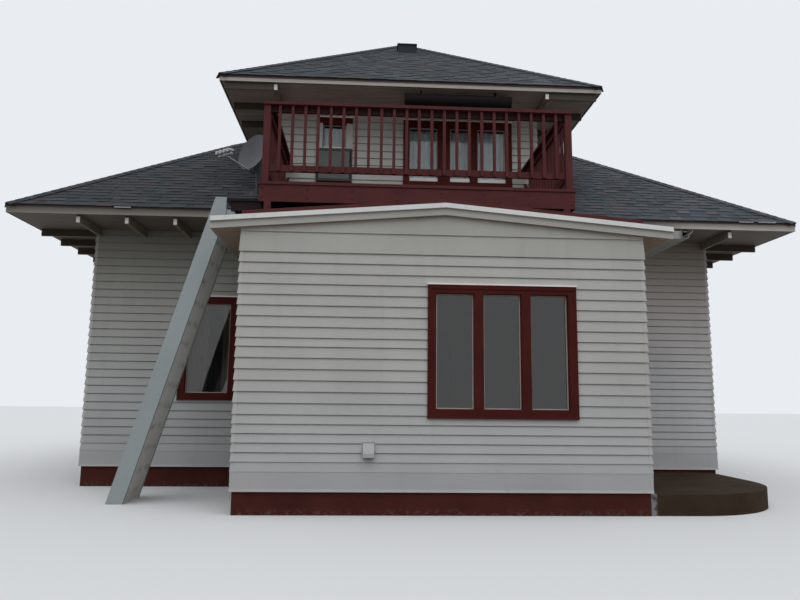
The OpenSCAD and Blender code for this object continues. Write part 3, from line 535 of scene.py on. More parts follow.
def shingle_granules(name, colour):
    """Fibreglass shingles faced with mineral granules: matt, blended from green-grey to a
    purplish grey from tab to tab, darker towards the left, lighter high up.
    Granules are 2 mm and drawn 8 mm so that they show."""
    made = _, tree, place = blank(name)
    tone = add(tree, "Attribute", out="Fac", attribute_name="tone")
    tabs = add(tree, "ValToRGB", (tone,))
    stops = tabs.node.color_ramp.elements
    for where in (0.3, 0.55, 0.8):
        stops.new(where)
    for stop, shade in zip(stops, (
            times(colour, 0.55), times(colour, 0.85), times(colour, 1.1),
            linear("#3f3a3e"), linear("#46484b"))):
        stop.color = (*shade, 1)
    x, z = (add(tree, "SeparateXYZ", (place,), axis) for axis in "XZ")
    shade = dimmed(
        tree, tabs, patches(tree, place, 0.55, 4, 0.35, 0.7, 0.85, 1.14),
        add(tree, "MapRange", (x, -3.5, 3.0, 0.62, 1.06)),
        add(tree, "MapRange", (z, 5.4, 6.5, 1.0, 1.3)),
        patches(tree, place, 130, 2, 0.3, 0.75, 0.78, 1.24, 0.7))
    granules = add(tree, "TexNoise", {"Vector": place, "Scale": 130, "Detail": 2,
                                      "Roughness": 0.7})
    return coat(made, shade, 0.93, (granules, 0.003, 0.7))


def eave_paint(name, colour, under, top, overhang_shade_colour, darker_left=False):
    """White paint on the eaves' outer boards, streaked: darkened from the top down as painted
    shade under the shingles' overhanging edge, and on the main eaves darker but for the right
    end."""
    made = _, tree, place = blank(name)
    along = add(tree, "Mapping", {"Vector": place, "Scale": (1, 1, 6)})
    shade = mottled(tree, along, colour, 3, 5, 0.3, 0.7, 0.86, 1.06)
    if darker_left:
        across = add(tree, "SeparateXYZ", (place,), "X")
        left_darkening = add(tree, "MapRange", (across, 4.4, 3.7, 0, 0.85))
        shade = stained(tree, shade, linear("#6c675e"), left_darkening)
    # painted shade under the shingles' overhang, darkest at the board's top
    height = add(tree, "SeparateXYZ", (place,), "Z")
    painted_shade = add(tree, "MapRange", (height, under, top))
    shade = dimmed(tree, shade, stained(tree, (1, 1, 1), overhang_shade_colour, painted_shade))
    return coat(made, shade, 0.6, (strokes(tree, place, (2, 2, 60), 3), 0.001, 0.5))


def stained_boards(name, colour):
    """Tongued boards under the eaves, 90 mm wide, stained brown: dull, a dark joint between
    each two."""
    made = _, tree, place = blank(name)
    part = through_repeat(tree, add(tree, "SeparateXYZ", (place,), "Y"), 0.090)
    joint = add(tree, "MapRange", (part, 0, 0.08))
    along = add(tree, "Mapping", {"Vector": place, "Scale": (1, 8, 8)})
    shade = mottled(tree, along, colour, 2, 4, 0.3, 0.7, 0.8, 1.15)
    shade = stained(tree, times(colour, 0.35), shade, joint)
    return coat(made, shade, 0.7, (joint, 0.004, 0.6))


def bracket_stain(name, colour):
    """Brown stain on the eave brackets, drawn paler than the soffit's as painted light, with
    painted shade on the faces that look to the front and the back.
    """
    made = _, tree, place = blank(name)
    normal = add(tree, "NewGeometry", out="Normal")
    facing = add(tree, "SeparateXYZ", (normal,), "Y")
    facing = add(tree, "Math", (facing,), operation="ABSOLUTE")
    shade = mottled(tree, place, colour, 4, 4, 0.3, 0.75, 0.85, 1.15)
    # painted shade on the faces that look to the front and the back
    painted_shade = add(tree, "MapRange", (facing, 0.4, 0.8))
    shade = stained(tree, shade, times(colour, 0.26), painted_shade)
    return coat(made, shade, 0.7, (strokes(tree, place, (9, 9, 60), 4), 0.001, 0.5),
                Specular_IOR_Level=0.1)


def floor_boards(name):
    """Softwood floor boards, oiled, 110 mm wide."""
    made = _, tree, place = blank(name)
    across = add(tree, "SeparateXYZ", (place,), "X")
    part = through_repeat(tree, across, 0.110)
    number = through_repeat(tree, across, 0.110, "FLOOR")
    tone = add(tree, "TexWhiteNoise", {"W": number}, noise_dimensions="1D")
    shade = stained(tree, linear("#7a5d43"), linear("#8f7253"), tone)
    fibres = strokes(tree, place, (40, 2, 40), 5)
    pores = add(tree, "MapRange", (fibres, 0.45, 0.75, 0, 0.5))
    shade = stained(tree, shade, linear("#4f3a29"), pores)
    joint = add(tree, "MapRange", (part, 0, 0.04))
    shade = stained(tree, linear("#2a1f16"), shade, joint)
    return coat(made, shade, 0.4, (joint, 0.002, 0.6))


def coated_metal(name, colour, rough, dirt):
    """Aluminium sheet with baked white enamel: smooth, slightly wavy, streaked with grime."""
    made = _, tree, place = blank(name)
    shade = mottled(tree, place, colour, 2, 5, 0.3, 0.7, 0.92, 1.04)
    streaks = add(tree, "MapRange", (strokes(tree, place, (14, 14, 1.2), 5), 0.52, 0.8))
    shade = stained(tree, shade, linear("#6b6862"), streaks, dirt)
    return coat(made, shade, rough, ((7, 2), 0.003, 0.25))


def grey_metal(name, colour, metallic=0.0):
    """Steel under grey powder coat: even, finely pebbled."""
    made = _, tree, place = blank(name)
    shade = mottled(tree, place, colour, 9, 4, 0.3, 0.7, 0.85, 1.12)
    return coat(made, shade, 0.5, ((300, 2), 0.0006, 0.4), Metallic=metallic)


def mast_metal(name, mast, arm):
    """Weathered steel: a dark mast behind the dish and a bright zinc-plated arm before it."""
    made = _, tree, place = blank(name)
    across = add(tree, "SeparateXYZ", (place,), "X")
    shade = stained(tree, mast, arm, add(tree, "MapRange", (across, -2.56, -2.64)))
    return coat(made, shade, 0.5, ((60, 3), 0.0008, 0.4), Metallic=0.2)


def window_glass(name, tint, index):
    """Float glass: a little uneven, so that the sky's reflection waves slightly. A tint dims
    the rooms seen through it, the ground floor's much more. The ground floor's panes are
    double, drawn as one with a higher index."""
    return coat(blank(name), tint, 0.03, ((1.6, 2), 0.006, 0.35), IOR=index,
                Transmission_Weight=1.0)


def cloth(name, colour, thread_mm=2):
    """Thin woven curtain cloth: matt, lets some light through. Threads are 0.4 mm and drawn
    2 mm so that they show."""
    made = _, tree, place = blank(name)
    weave = add(tree, "TexWave", {"Vector": place, "Scale": 1000 / thread_mm / 6.3,
                                  "Distortion": 0.6}, "Fac", bands_direction="Z")
    shade = mottled(tree, place, colour, 3, 4, 0.3, 0.7, 0.9, 1.06)
    gaps = add(tree, "MapRange", (weave, 0, 1, 0, 0.12))
    shade = stained(tree, shade, times(colour, 0.6), gaps)
    return coat(made, shade, 0.9, (weave, 0.0006, 0.5), Specular_IOR_Level=0.2)


def courses(foot, lap, count):
    """Even courses as one run of (foot, top, count)."""
    return ((foot, foot + lap * count, count),)


def finishes():
    """Each finish: the function that makes it, and what that takes after the name."""
    c, s = bpy.context.scene.house_colours, sizes()
    siding, red, deck, eaves = (tuple(x) for x in (c.siding, c.red, c.deck, c.eaves))
    return {
        # the tints' darker, browner tops on the main block are painted shade under the eaves
        "paint_on_clapboards": (
            house_paint, siding, courses(LEFT_FOOT, s.lap, LEFT_COURSES),
            (1.5, 3.15, (0.94, 0.97, 1.02), (0.74, 0.74, 0.71))),
        "paint_on_extension": (
            house_paint, siding, EXT_RUNS,
            (0.7, 2.6, (1.05, 1.06, 1.13), (1.08, 1.07, 1.07))),
        "paint_on_right_clapboards": (
            house_paint, siding, courses(RIGHT_FOOT, s.right_lap, RIGHT_COURSES),
            (1.6, 3.7, (1.08, 1.09, 1.18), (0.83, 0.74, 0.70))),
        "paint_on_upper_clapboards": (
            house_paint, siding, courses(UPPER_FOOT, s.lap, UPPER_COURSES)),
        "paint_on_flat_boards": (
            house_paint, siding, (), (0.5, 3.2, (0.99, 1.02, 1.10), (1.02, 1.02, 1.01))),
        "paint_on_ladder": (house_paint, linear("#98a1a4")),
        # much paler than the ladder's paint: painted light on the ladder's shaded back
        "paint_on_ladder_back": (ladder_back_paint, linear("#f4f5f3")),
        "white_end_paint": (house_paint, linear("#d6d6d2")),
        "plaster": (house_paint, linear("#7d7972")),
        # each eave board's darkest colour here is its painted shade under the shingles' edge
        "eave_paint": (eave_paint, eaves, EAVE_UNDER + 0.005, EAVE_UNDER + 0.090,
                       (0.34, 0.31, 0.30), True),
        "upper_eave_paint": (eave_paint, times(eaves, 0.88), UPPER_EAVE_UNDER + 0.012,
                             UPPER_EAVE_UNDER + 0.080, (0.62, 0.54, 0.52)),
        # the fascias are drawn dark: a stain, and painted shade under the shingles' edge and
        # the landing
        "eave_stain": (red_paint, linear("#5a504e"), "x"),
        # paler than the soffit's stain: painted light on the brackets in the eaves' shade
        "bracket_stain": (bracket_stain, linear("#8f8479")),
        # near black: dark paint, and painted shade on the landing's boards and rim
        "landing_stain": (red_paint, linear("#2b2124"), "x"),
        "red_paint_upright": (red_paint, red),
        "deck_paint_upright": (red_paint, deck),
        "front_railing_paint": (red_paint, deck, "z", True),
        "deck_paint_across": (red_paint, deck, "x"),
        "painted_concrete": (painted_concrete, c.foundation),
        "bare_concrete": (bare_concrete, c.concrete),
        "shingle_granules": (shingle_granules, c.shingles),
        "stained_boards": (stained_boards, c.soffit),
        # much paler than the main soffit's stain: painted light under the upper eaves and on
        # the frieze
        "upper_stained_boards": (stained_boards, linear("#b6aaa3")),
        "low_roof_boards": (stained_boards, linear("#a59383")),
        "oiled_boards": (floor_boards,),
        "corner_metal": (coated_metal, c.cap, 0.45, 0.2),
        "roof_edge_metal": (coated_metal, c.trim, 0.4, 0.15),
        "bright_metal": (coated_metal, linear("#eceae6"), 0.4, 0.1),
        "gutter_metal": (coated_metal, linear("#92908e"), 0.5, 0.5),
        "grey_coat": (grey_metal, linear("#464549")),
        "mast_metal": (mast_metal, linear("#393a3c"), linear("#b4b5b6")),
        "galvanised": (grey_metal, linear("#8b8c8e"), 0.7),
        "dark_bronze": (grey_metal, linear("#2b2523"), 0.3),
        # dark fill in the gutter: painted shade inside it, drawn as rotted leaves
        "litter": (bare_concrete, linear("#2a241e")),
        "ground_panes": (window_glass, linear("#8a8279"), 1.68),
        "upper_panes": (window_glass, linear("#dfe4e5"), 1.52),
        "screen_mesh": (grey_metal, linear("#4a504c")),
        "sash_putty": (coated_metal, linear("#a8a296"), 0.5, 0.3),
        "curtain_cloth": (cloth, linear("#e4e9e8")),
        "black_cloth": (cloth, linear("#181315"), 6),
    }


def finish(name):
    """The finish of that name, made the first time it is asked for."""
    if name not in bpy.data.materials:
        make, *values = finishes()[name]
        make(name, *values)
    return bpy.data.materials[name]


# ---- siding ----

HAIR = 0.001  # keeps the faces of two pieces out of each other
COURSE_GAP = 0.0004  # the same between two courses
BOARD_BACK = 0.004  # how far boards reach into the wall
CUT = 0.3  # how far a window's or door's cutter reaches past its node
PAST = 0.5  # how far other cutters reach past the house
INTO = 0.05  # how far they reach into it
SKY = 9.0  # above all roofs
VENT_HOLE_X, VENT_HOLE_Z = (-0.712, -0.552), (0.667, 0.867)
CAP_PROUD = 0.003  # how far corner caps stand out from the boards
CORNER_REACH = 0.03  # how far the caps' cutters reach past a corner
LIP_TALL, LIP_DROP = 0.028, 0.004
UPPER_SKIRT_OUT = (0.0175, 0.006)
SKIRT_EDGE = 0.014  # how far the flared part stands out at its upper edge


def ring(name, rect, z0, z1, out_low, out_high):
    """A mitred board all round a rectangle: out_low and out_high are how far its lower and
    upper edges stand out from it."""
    x0, x1, y0, y1 = rect
    piece = hollow_plate(name, ((x0 + x1) / 2, (y0 + y1) / 2, z0), (0, 0, 0),
                         (x1 - x0 + 2 * out_low, y1 - y0 + 2 * out_low),
                         out_low + BOARD_BACK, (0, 0, z1 - z0))
    for axis, sign, edge in ((0, -1, x0 - out_low), (0, 1, x1 + out_low),
                             (1, -1, y0 - out_low), (1, 1, y1 + out_low)):
        move = [0, 0, 0]
        move[axis] = sign * (out_high - out_low)
        shift(piece, lambda c: c.z > (z0 + z1) / 2 and abs(c[axis] - edge) < HAIR / 2, move)
    return outward(leave(piece))


def holes(places):
    """One cutter from several boxes."""
    return join("holes", [box("hole", *place) for place in places])


def window_place(node, i=None):
    """The box that a window's frame fills, deepened through its wall; i picks one of a
    node's two windows."""
    (x0, y0, z0), (x1, y1, z1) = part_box(node)
    wide = high("front_window", "x") - low("front_window", "x")
    if x1 - x0 > y1 - y0:
        if i is not None:
            x0, x1 = (x1 - wide, x1) if i else (x0, x0 + wide)
        return x0, x1, y0 - CUT, y1 + CUT, z0, z1
    y0, y1 = (y1 - wide, y1) if i else (y0, y0 + wide)
    return x0 - CUT, x1 + CUT, y0, y1, z0, z1


def windows_of(*nodes):
    return [window_place(node, i) for node in nodes for i in (0, 1)]


def upper_window_places(node):
    """The double-hung window and the three-part one beside it."""
    (x0, y0, z0), (x1, y1, z1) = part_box(node)
    return [(x0, x0 + HUNG_WIDE, y0 - CUT, y1 + CUT, z0, z1),
            (x1 - UPPER_TRIPLE_WIDE, x1, y0 - CUT, y1 + CUT, z0, z1)]


def door_place():
    (x0, y0, z0), (x1, y1, z1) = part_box("side_door")
    return x0 - CUT, x1 + CUT, y0, y1, z0, z1


def left_cuts():
    """What the boards of the left and the back leave free round the main rectangle."""
    return [window_place("front_window")] + windows_of("left_windows", "back_windows") + [
        (EXT_LEFT + 0.002, RIGHT + PAST, FRONT - PAST, FRONT + INTO, 0, SKY),
        (RIGHT - 0.006, RIGHT + PAST, FRONT + 0.06, BACK + PAST, 0, SKY)]


def right_cuts():
    """What the boards of the right side leave free."""
    return windows_of("right_windows") + [
        (LEFT - PAST, EXT_RIGHT - 0.002, FRONT - PAST, FRONT + INTO, 0, SKY),
        (LEFT - PAST, LEFT + 0.06, FRONT + 0.06, BACK + PAST, 0, SKY),
        (LEFT + INTO, RIGHT - 0.005, BACK - INTO, BACK + PAST, 0, SKY)]


def hip_cutter(raised):
    """The space under the main roof, a little raised."""
    clear()
    bpy.ops.mesh.primitive_cone_add(
        vertices=4, radius1=EAVE_OUT * math.sqrt(2), depth=EAVE_OUT * PITCH,
        location=(0, MIDDLE, EAVE_TOP + raised + EAVE_OUT * PITCH / 2),
        rotation=(0, 0, math.radians(45)))
    return settle("under_main_roof")


def stop_at_front(piece):
    """Cuts what goes round the extension at the main block's front."""
    return slice_off(piece, (0, FRONT, 0), (0, 1, 0))


def stop_at(piece, z):
    return slice_off(piece, (0, 0, z), (0, 0, 1))


def lapped(name, rect, foot, lap, count, cuts):
    """Courses of clapboards round a rectangle, cut out where something else stands."""
    s = sizes()
    piece = ring(name, rect, foot, foot + lap - COURSE_GAP, s.butt, s.lap_top)
    stack(piece, count, lap)
    return carve(piece, holes(cuts)) if cuts else piece


def caps(name, rect, foot, lap, count, corners, top):
    """Metal caps on the chosen corners of a rectangle's courses."""
    s = sizes()
    piece = ring(name, rect, foot + HAIR, foot + lap - 2 * HAIR, s.butt + CAP_PROUD,
                 s.lap_top + CAP_PROUD)
    stack(piece, count, lap)
    x0, x1, y0, y1 = rect
    boxes = []
    for sx, sy in corners:
        x, y = x0 if sx < 0 else x1, y0 if sy < 0 else y1
        boxes.append((x - s.cap - (CORNER_REACH if sx < 0 else 0),
                      x + s.cap + (CORNER_REACH if sx > 0 else 0),
                      y - s.cap - (CORNER_REACH if sy < 0 else 0),
                      y + s.cap + (CORNER_REACH if sy > 0 else 0), 0, top))
    return carve(piece, holes(boxes), "INTERSECT")


def each_run(name, make):
    """One piece from make(name, foot, lap, count) for every run of the extension's courses."""
    return join(name, [make(f"{name}_{i}", foot, (top - foot) / count, count)
                       for i, (foot, top, count) in enumerate(EXT_RUNS)])


class HOUSE_OT_clapboards(bpy.types.Operator):
    """Lapped boards on every wall, mitred at the corners"""
    bl_idname = "house.clapboards"
    bl_label = "Clapboards"

    def execute(self, context):
        s = sizes()
        cuts = [window_place("extension_window"), door_place(),
                (*VENT_HOLE_X, EXT_FRONT - CUT, EXT_FRONT + INTO, *VENT_HOLE_Z)]
        piece = each_run("clapboards_extension", lambda name, foot, lap, count: lapped(
            name, EXT_RECT, foot, lap, count, cuts))
        dress(stop_at_front(piece), "paint_on_extension")
        for name, foot, lap, count, cuts, paint in (
                ("clapboards_left_and_back", LEFT_FOOT, s.lap, LEFT_COURSES, left_cuts(),
                 "paint_on_clapboards"),
                ("clapboards_right", RIGHT_FOOT, s.right_lap, RIGHT_COURSES, right_cuts(),
                 "paint_on_right_clapboards")):
            piece = lapped(name, MAIN_RECT, foot, lap, count, cuts)
            dress(stop_at(piece, EAVE_UNDER - HAIR), paint)
        piece = lapped("clapboards_upper", UPPER_RECT, UPPER_FOOT, s.lap, UPPER_COURSES, None)
        stop_at(piece, UPPER_EAVE_UNDER - HAIR)
        carve(piece, hip_cutter(0.008))
        frieze = low("upper_frieze", "z")
        across = (UPPER_LEFT - HAIR, UPPER_RIGHT + HAIR)
        carve(piece, holes(upper_window_places("upper_front_windows")
                           + upper_window_places("upper_back_windows")
                           + [(*across, FRONT - PAST, FRONT + INTO, frieze, SKY),
                              (*across, BACK - INTO, BACK + PAST, frieze, SKY)]))
        dress(piece, "paint_on_upper_clapboards")
        return {"FINISHED"}


class HOUSE_OT_corner_caps(bpy.types.Operator):
    """Folded metal caps over the mitred corners of the boards"""
    bl_idname = "house.corner_caps"
    bl_label = "Corner caps"

    def execute(self, context):
        s = sizes()
        made = [
            each_run("caps_extension", lambda name, foot, lap, count: caps(
                name, EXT_RECT, foot, lap, count, ((-1, -1), (1, -1)),
                EXT_LAP_TOP + 2 * HAIR)),
            caps("caps_left", MAIN_RECT, LEFT_FOOT, s.lap, LEFT_COURSES,
                 ((-1, -1), (-1, 1)), EAVE_UNDER - 2 * HAIR),
            caps("caps_right", MAIN_RECT, RIGHT_FOOT, s.right_lap, RIGHT_COURSES,
                 ((1, -1), (1, 1)), EAVE_UNDER - 2 * HAIR)]
        upper = caps("caps_upper", UPPER_RECT, UPPER_FOOT, s.lap, UPPER_COURSES,
                     ((-1, -1), (-1, 1), (1, -1), (1, 1)), UPPER_EAVE_UNDER - 2 * HAIR)
        made.append(carve(upper, hip_cutter(0.01)))
        for piece in made:
            dress(piece, "corner_metal")
        return {"FINISHED"}


class HOUSE_OT_skirt_boards(bpy.types.Operator):
    """Wide boards under the first course, flared over the foundation, and their lip"""
    bl_idname = "house.skirt_boards"
    bl_label = "Skirt boards"

    def skirt(self, name, rect, foot, line, top, flare, cuts):
        """line is the height at which the flared part meets the upper one."""
        made = []
        for part, z0, z1, outs in (
                ("lower", foot + LIP_TALL, line, (flare, SKIRT_EDGE)),
                ("upper", line, top + 0.01, UPPER_SKIRT_OUT),
                ("lip", foot - LIP_DROP, foot + LIP_TALL, (flare + 0.006, flare + 0.002))):
            piece = carve(ring(f"{name}_{part}", rect, z0, z1, *outs), holes(cuts))
            made.append(stop_at_front(piece) if rect == EXT_RECT else piece)
        dress(made.pop(), "corner_metal")
        dress(join(name, made), "paint_on_flat_boards")

    def execute(self, context):
        self.skirt("skirt_extension", EXT_RECT, EXT_FOOT, 0.510, EXT_RUNS[0][0], 0.011,
                   [door_place()])
        # the windows' cuts come first, and no window reaches this low
        self.skirt("skirt_left", MAIN_RECT, WALL_FOOT, 0.545, LEFT_FOOT, 0.016,
                   left_cuts()[-2:])
        self.skirt("skirt_right", MAIN_RECT, WALL_FOOT, 0.560, RIGHT_FOOT, 0.015,
                   right_cuts()[-3:])
        return {"FINISHED"}


class HOUSE_OT_gable_boards(bpy.types.Operator):
    """The wide board at the top of the extension and the low gable board above it"""
    bl_idname = "house.gable_boards"
    bl_label = "Gable boards"

    def execute(self, context):
        band = ring("band", EXT_RECT, EXT_LAP_TOP, EXT_BOARD_TOP, 0.021, 0.008)
        stop_at_front(carve(band, holes([door_place()])))
        gable = box("gable", EXT_LEFT - 0.006, EXT_RIGHT + 0.006, EXT_FRONT - 0.024,
                    EXT_FRONT + 0.004, EXT_BOARD_TOP - 0.004, EXT_PEAK)
        sides = ring("sides", EXT_RECT, EXT_BOARD_TOP, 3.52, 0.008, 0.008)
        stop_at_front(sides)
        slice_off(sides, (0, EXT_FRONT + 0.01, 0), (0, -1, 0))
        for piece in (gable, sides):
            for side in (-1, 1):
                slice_off(piece, (EXT_MIDDLE, 0, EXT_PEAK - EXT_ROOF_THICK - 2 * HAIR),
                          Vector((side * EXT_PITCH, 0, 1)).normalized())
        dress(join("gable_boards", [band, gable, sides]), "paint_on_flat_boards")
        return {"FINISHED"}


# ---- roofs ----

HIP_SPARE = 0.06  # how far courses run past the hips, where they are cut
RAISED_TAB, SUNK_TAB = (0.13, 0.36), (0.10, 0.30)  # narrowest and widest
TAB_GAP = 0.002
TAB_OVERLAP = 0.012
LEAST_TAB, LEAST_COURSE = 0.004, 0.02
TAB_TAPER = 0.82  # how much of its thickness a tab loses up the slope
TONE_SPREAD = 0.20
RAISED_TONE, SUNK_TONE, CAP_TONE, SHEET_TONE = 0.58, 0.30, 0.45, 0.4


def toss_tone(dice, middle):
    return min(max(dice.gauss(middle, TONE_SPREAD), 0), 1)


def slope_place(turn, reach, edge):
    """The frame of a roof slope: u along the eave, v up the slope, w out of it."""
    place = Matrix.Translation((0, -reach, edge)) @ Matrix.Rotation(SLOPE, 4, "X")
    return (Matrix.Translation((0, MIDDLE, 0)) @ Matrix.Rotation(-turn * math.pi / 2, 4, "Z")
            @ place)


def shingle_course(place, v, u0, u1, dice, drip):
    """Places and tones for one course of tabs between u0 and u1; the first course hangs over
    the eave by drip."""
    s = sizes()
    places, tones = [], []
    u = u0 - dice.uniform(0, 0.2)
    raised = dice.random() < 0.5
    while u < u1:
        wide = dice.uniform(*(RAISED_TAB if raised else SUNK_TAB))
        thick = s.tab_thick if raised else s.base_thick
        a, b = max(u, u0), min(u + wide, u1)
        if b - a > LEAST_TAB:
            butt = v - (drip if drip else 0.004 * dice.random())
            long = s.shingle + TAB_OVERLAP + (v - butt)
            places.append(place @ Matrix.Translation((a, butt, 0.0006))
                          @ Matrix.Diagonal((b - a - TAB_GAP, long, thick, 1)))
            tones.append(toss_tone(dice, RAISED_TONE if raised else SUNK_TONE))
        u += wide
        raised = not raised
    return places, tones


def shingle_slope(name, place, courses, span, seed, planes, drip):
    """Lays the courses from span(v) and cuts them at the given upright planes."""
    dice = random.Random(seed)
    places, tones = [], []
    for n in courses:
        v = n * sizes().shingle
        for u0, u1 in span(v):
            if u1 - u0 > LEAST_COURSE:
                more, tone = shingle_course(place, v, u0, u1, dice,
                                            drip if n == courses[0] else 0)
                places += more
                tones += tone
    # one tab 1 wide, long and thick, thinner up the slope; each place scales it
    tab = wedge("tab", (0, 1, 0, 1, 0, 1), lambda c: c.y > 0.5 and c.z > 0.5,
                (0, 0, -TAB_TAPER))
    piece = lay(name, tab, places, tones)
    for point, normal in planes:
        slice_off(piece, point, normal)
    return piece


def hip_plane(reach_x, reach_y, sx, sy, keep):
    """The upright plane through a hip; keep says which slope's side stays."""
    point = (sx * reach_x, MIDDLE + sy * reach_y, 0)
    normal = Vector((sx, -sy, 0)) if keep == "front" else Vector((-sx, sy, 0))
    return point, normal.normalized()


class HOUSE_OT_shingles(bpy.types.Operator):
    """Courses of shingle tabs on every slope of both hip roofs"""
    bl_idname = "house.shingles"
    bl_label = "Shingles"

    def execute(self, context):
        cos = math.cos(SLOPE)
        main, upper = EAVE_OUT, UPPER_EAVE_OUT
        upper_long = MIDDLE - UPPER_EAVE_FRONT
        step, drip = sizes().shingle, sizes().drip
        below = round((main - upper) / cos / step)
        above = math.ceil(upper / cos / step)
        wall = UPPER_RIGHT + 0.004
        beside = range(round((main - wall) / cos / step) + 1)

        def whole(reach, start=0.0):
            """Spans from hip to hip, on a slope whose foot is at v = start."""
            def span(v):
                edge = reach - (v - start) * cos + HIP_SPARE
                return [(-edge, edge)]
            return span

        def by_wall(v):
            """Spans from hip to hip, and past the wall's foot on both sides of it."""
            (left, right), = whole(main)(v)
            if v * cos < main - (BACK - MIDDLE) - 0.1:
                return [(left, right)]
            return [(left, -wall), (wall, right)]

        made = []
        for turn, label, sy in ((0, "front", -1), (2, "back", 1)):
            for part, reach, long, edge, rows, span, seed in (
                    ("main", main, main, EAVE_TOP, beside, by_wall, 11),
                    ("upper", upper, upper_long, UPPER_EAVE_TOP, range(above),
                     whole(upper), 31)):
                made.append(shingle_slope(
                    f"shingles_{part}_{label}", slope_place(turn, long, edge), rows, span,
                    seed + turn,
                    [hip_plane(reach, long, sx, sy, "front") for sx in (-1, 1)], drip))
        for turn, label, sx in ((1, "left", -1), (3, "right", 1)):
            place = slope_place(turn, main, EAVE_TOP)
            for part, reach, long, rows, span, seed, over in (
                    ("main", main, main, range(below), whole(main), 51, drip),
                    ("upper", upper, upper_long, range(below, below + above),
                     whole(upper_long, below * step), 71, 0)):
                made.append(shingle_slope(
                    f"shingles_{part}_{label}", place, rows, span, seed + turn,
                    [hip_plane(reach, long, sx, sy, "side") for sy in (-1, 1)], over))
            slice_off(made[-1], (0, 0, 0), (-sx, 0, 0))
        for piece in made:
            dress(piece, "shingle_granules")
        return {"FINISHED"}


class HOUSE_OT_roof_caps(bpy.types.Operator):
    """Folded cap shingles along the hips and the ridge"""
    bl_idname = "house.roof_caps"
    bl_label = "Roof caps"

    STEP, OVERLAP, WIDE, THICK, LIFT = 0.14, 0.03, 0.13, 0.012, 0.012

    def cap(self, run, wings):
        """One folded cap shingle at the origin, its two wings on both sides of its run."""
        long, thick, made = self.STEP + self.OVERLAP, self.THICK, []
        for i, wing in enumerate(wings):
            up = run.cross(wing).normalized()
            part = wedge(f"cap_{i}", (0, long, 0, self.WIDE, 0, thick),
                         lambda c: c.x > long / 2 and c.z > thick / 2,
                         (0, 0, -0.5 * thick))
            side = Matrix((run, wing, -up if up.z < 0 else up)).transposed().to_4x4()
            part.data.transform(side)
            made.append(part)
        return outward(join("cap", made))

    def caps(self, name, places, run, wings, dice):
        tones = [toss_tone(dice, CAP_TONE) for _ in places]
        return lay(name, self.cap(run, wings), [Matrix.Translation(p) for p in places], tones)

    def execute(self, context):
        dice = random.Random(5)
        made = []
        for sx in (-1, 1):
            for sy in (-1, 1):
                run = Vector((-sx, -sy, PITCH)).normalized()
                wings = []
                for slope in ((sx * PITCH, 0, 1), (0, sy * PITCH, 1)):
                    wing = run.cross(Vector(slope).normalized())
                    wings.append((-wing if wing.z > 0 else wing).normalized())
                for label, rx, ry, top, far in (
                        ("main", EAVE_OUT, EAVE_OUT, EAVE_TOP, EAVE_OUT - UPPER_EAVE_OUT - 0.2),
                        ("upper", UPPER_EAVE_OUT, MIDDLE - UPPER_EAVE_FRONT, UPPER_EAVE_TOP,
                         UPPER_EAVE_OUT)):
                    start = Vector((sx * rx, MIDDLE + sy * ry, top + self.LIFT))
                    count = int(far / abs(run.x) / self.STEP)
                    places = [start + run * (i * self.STEP - 0.02) for i in range(count)]
                    made.append(self.caps(f"caps_{label}", places, run, wings, dice))
        top = UPPER_EAVE_TOP + PITCH * UPPER_EAVE_OUT
        reach = MIDDLE - UPPER_EAVE_FRONT - UPPER_EAVE_OUT
        count = int(2 * reach / self.STEP) + 1
        places = [(0, MIDDLE - reach + i * self.STEP - 0.05, top + self.LIFT)
                  for i in range(count)]
        wings = [Vector((sx, 0, -PITCH)).normalized() for sx in (-1, 1)]
        made.append(self.caps("caps_ridge", places, Vector((0, 1, 0)), wings, dice))
        dress(join("hip_and_ridge_caps", made), "shingle_granules")
        return {"FINISHED"}


def solid_boxes(node):
    """The lowest and highest corner of each solid of a node."""
    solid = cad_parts[node]
    shells = bmesh.new()
    shells.from_mesh(solid.data)
    shells.transform(solid.matrix_world)
    bmesh.ops.remove_doubles(shells, verts=shells.verts, dist=0.00001)
    left = set(shells.verts)
    found = []
    while left:
        corners, queue = [], [left.pop()]
        while queue:
            vertex = queue.pop()
            corners.append(vertex.co.copy())
            for edge in vertex.link_edges:
                other = edge.other_vert(vertex)
                if other in left:
                    left.remove(other)
                    queue.append(other)
        found.append(tuple(f(c[axis] for c in corners) for f in (min, max)
                           for axis in range(3)))
    shells.free()
    return sorted(found)


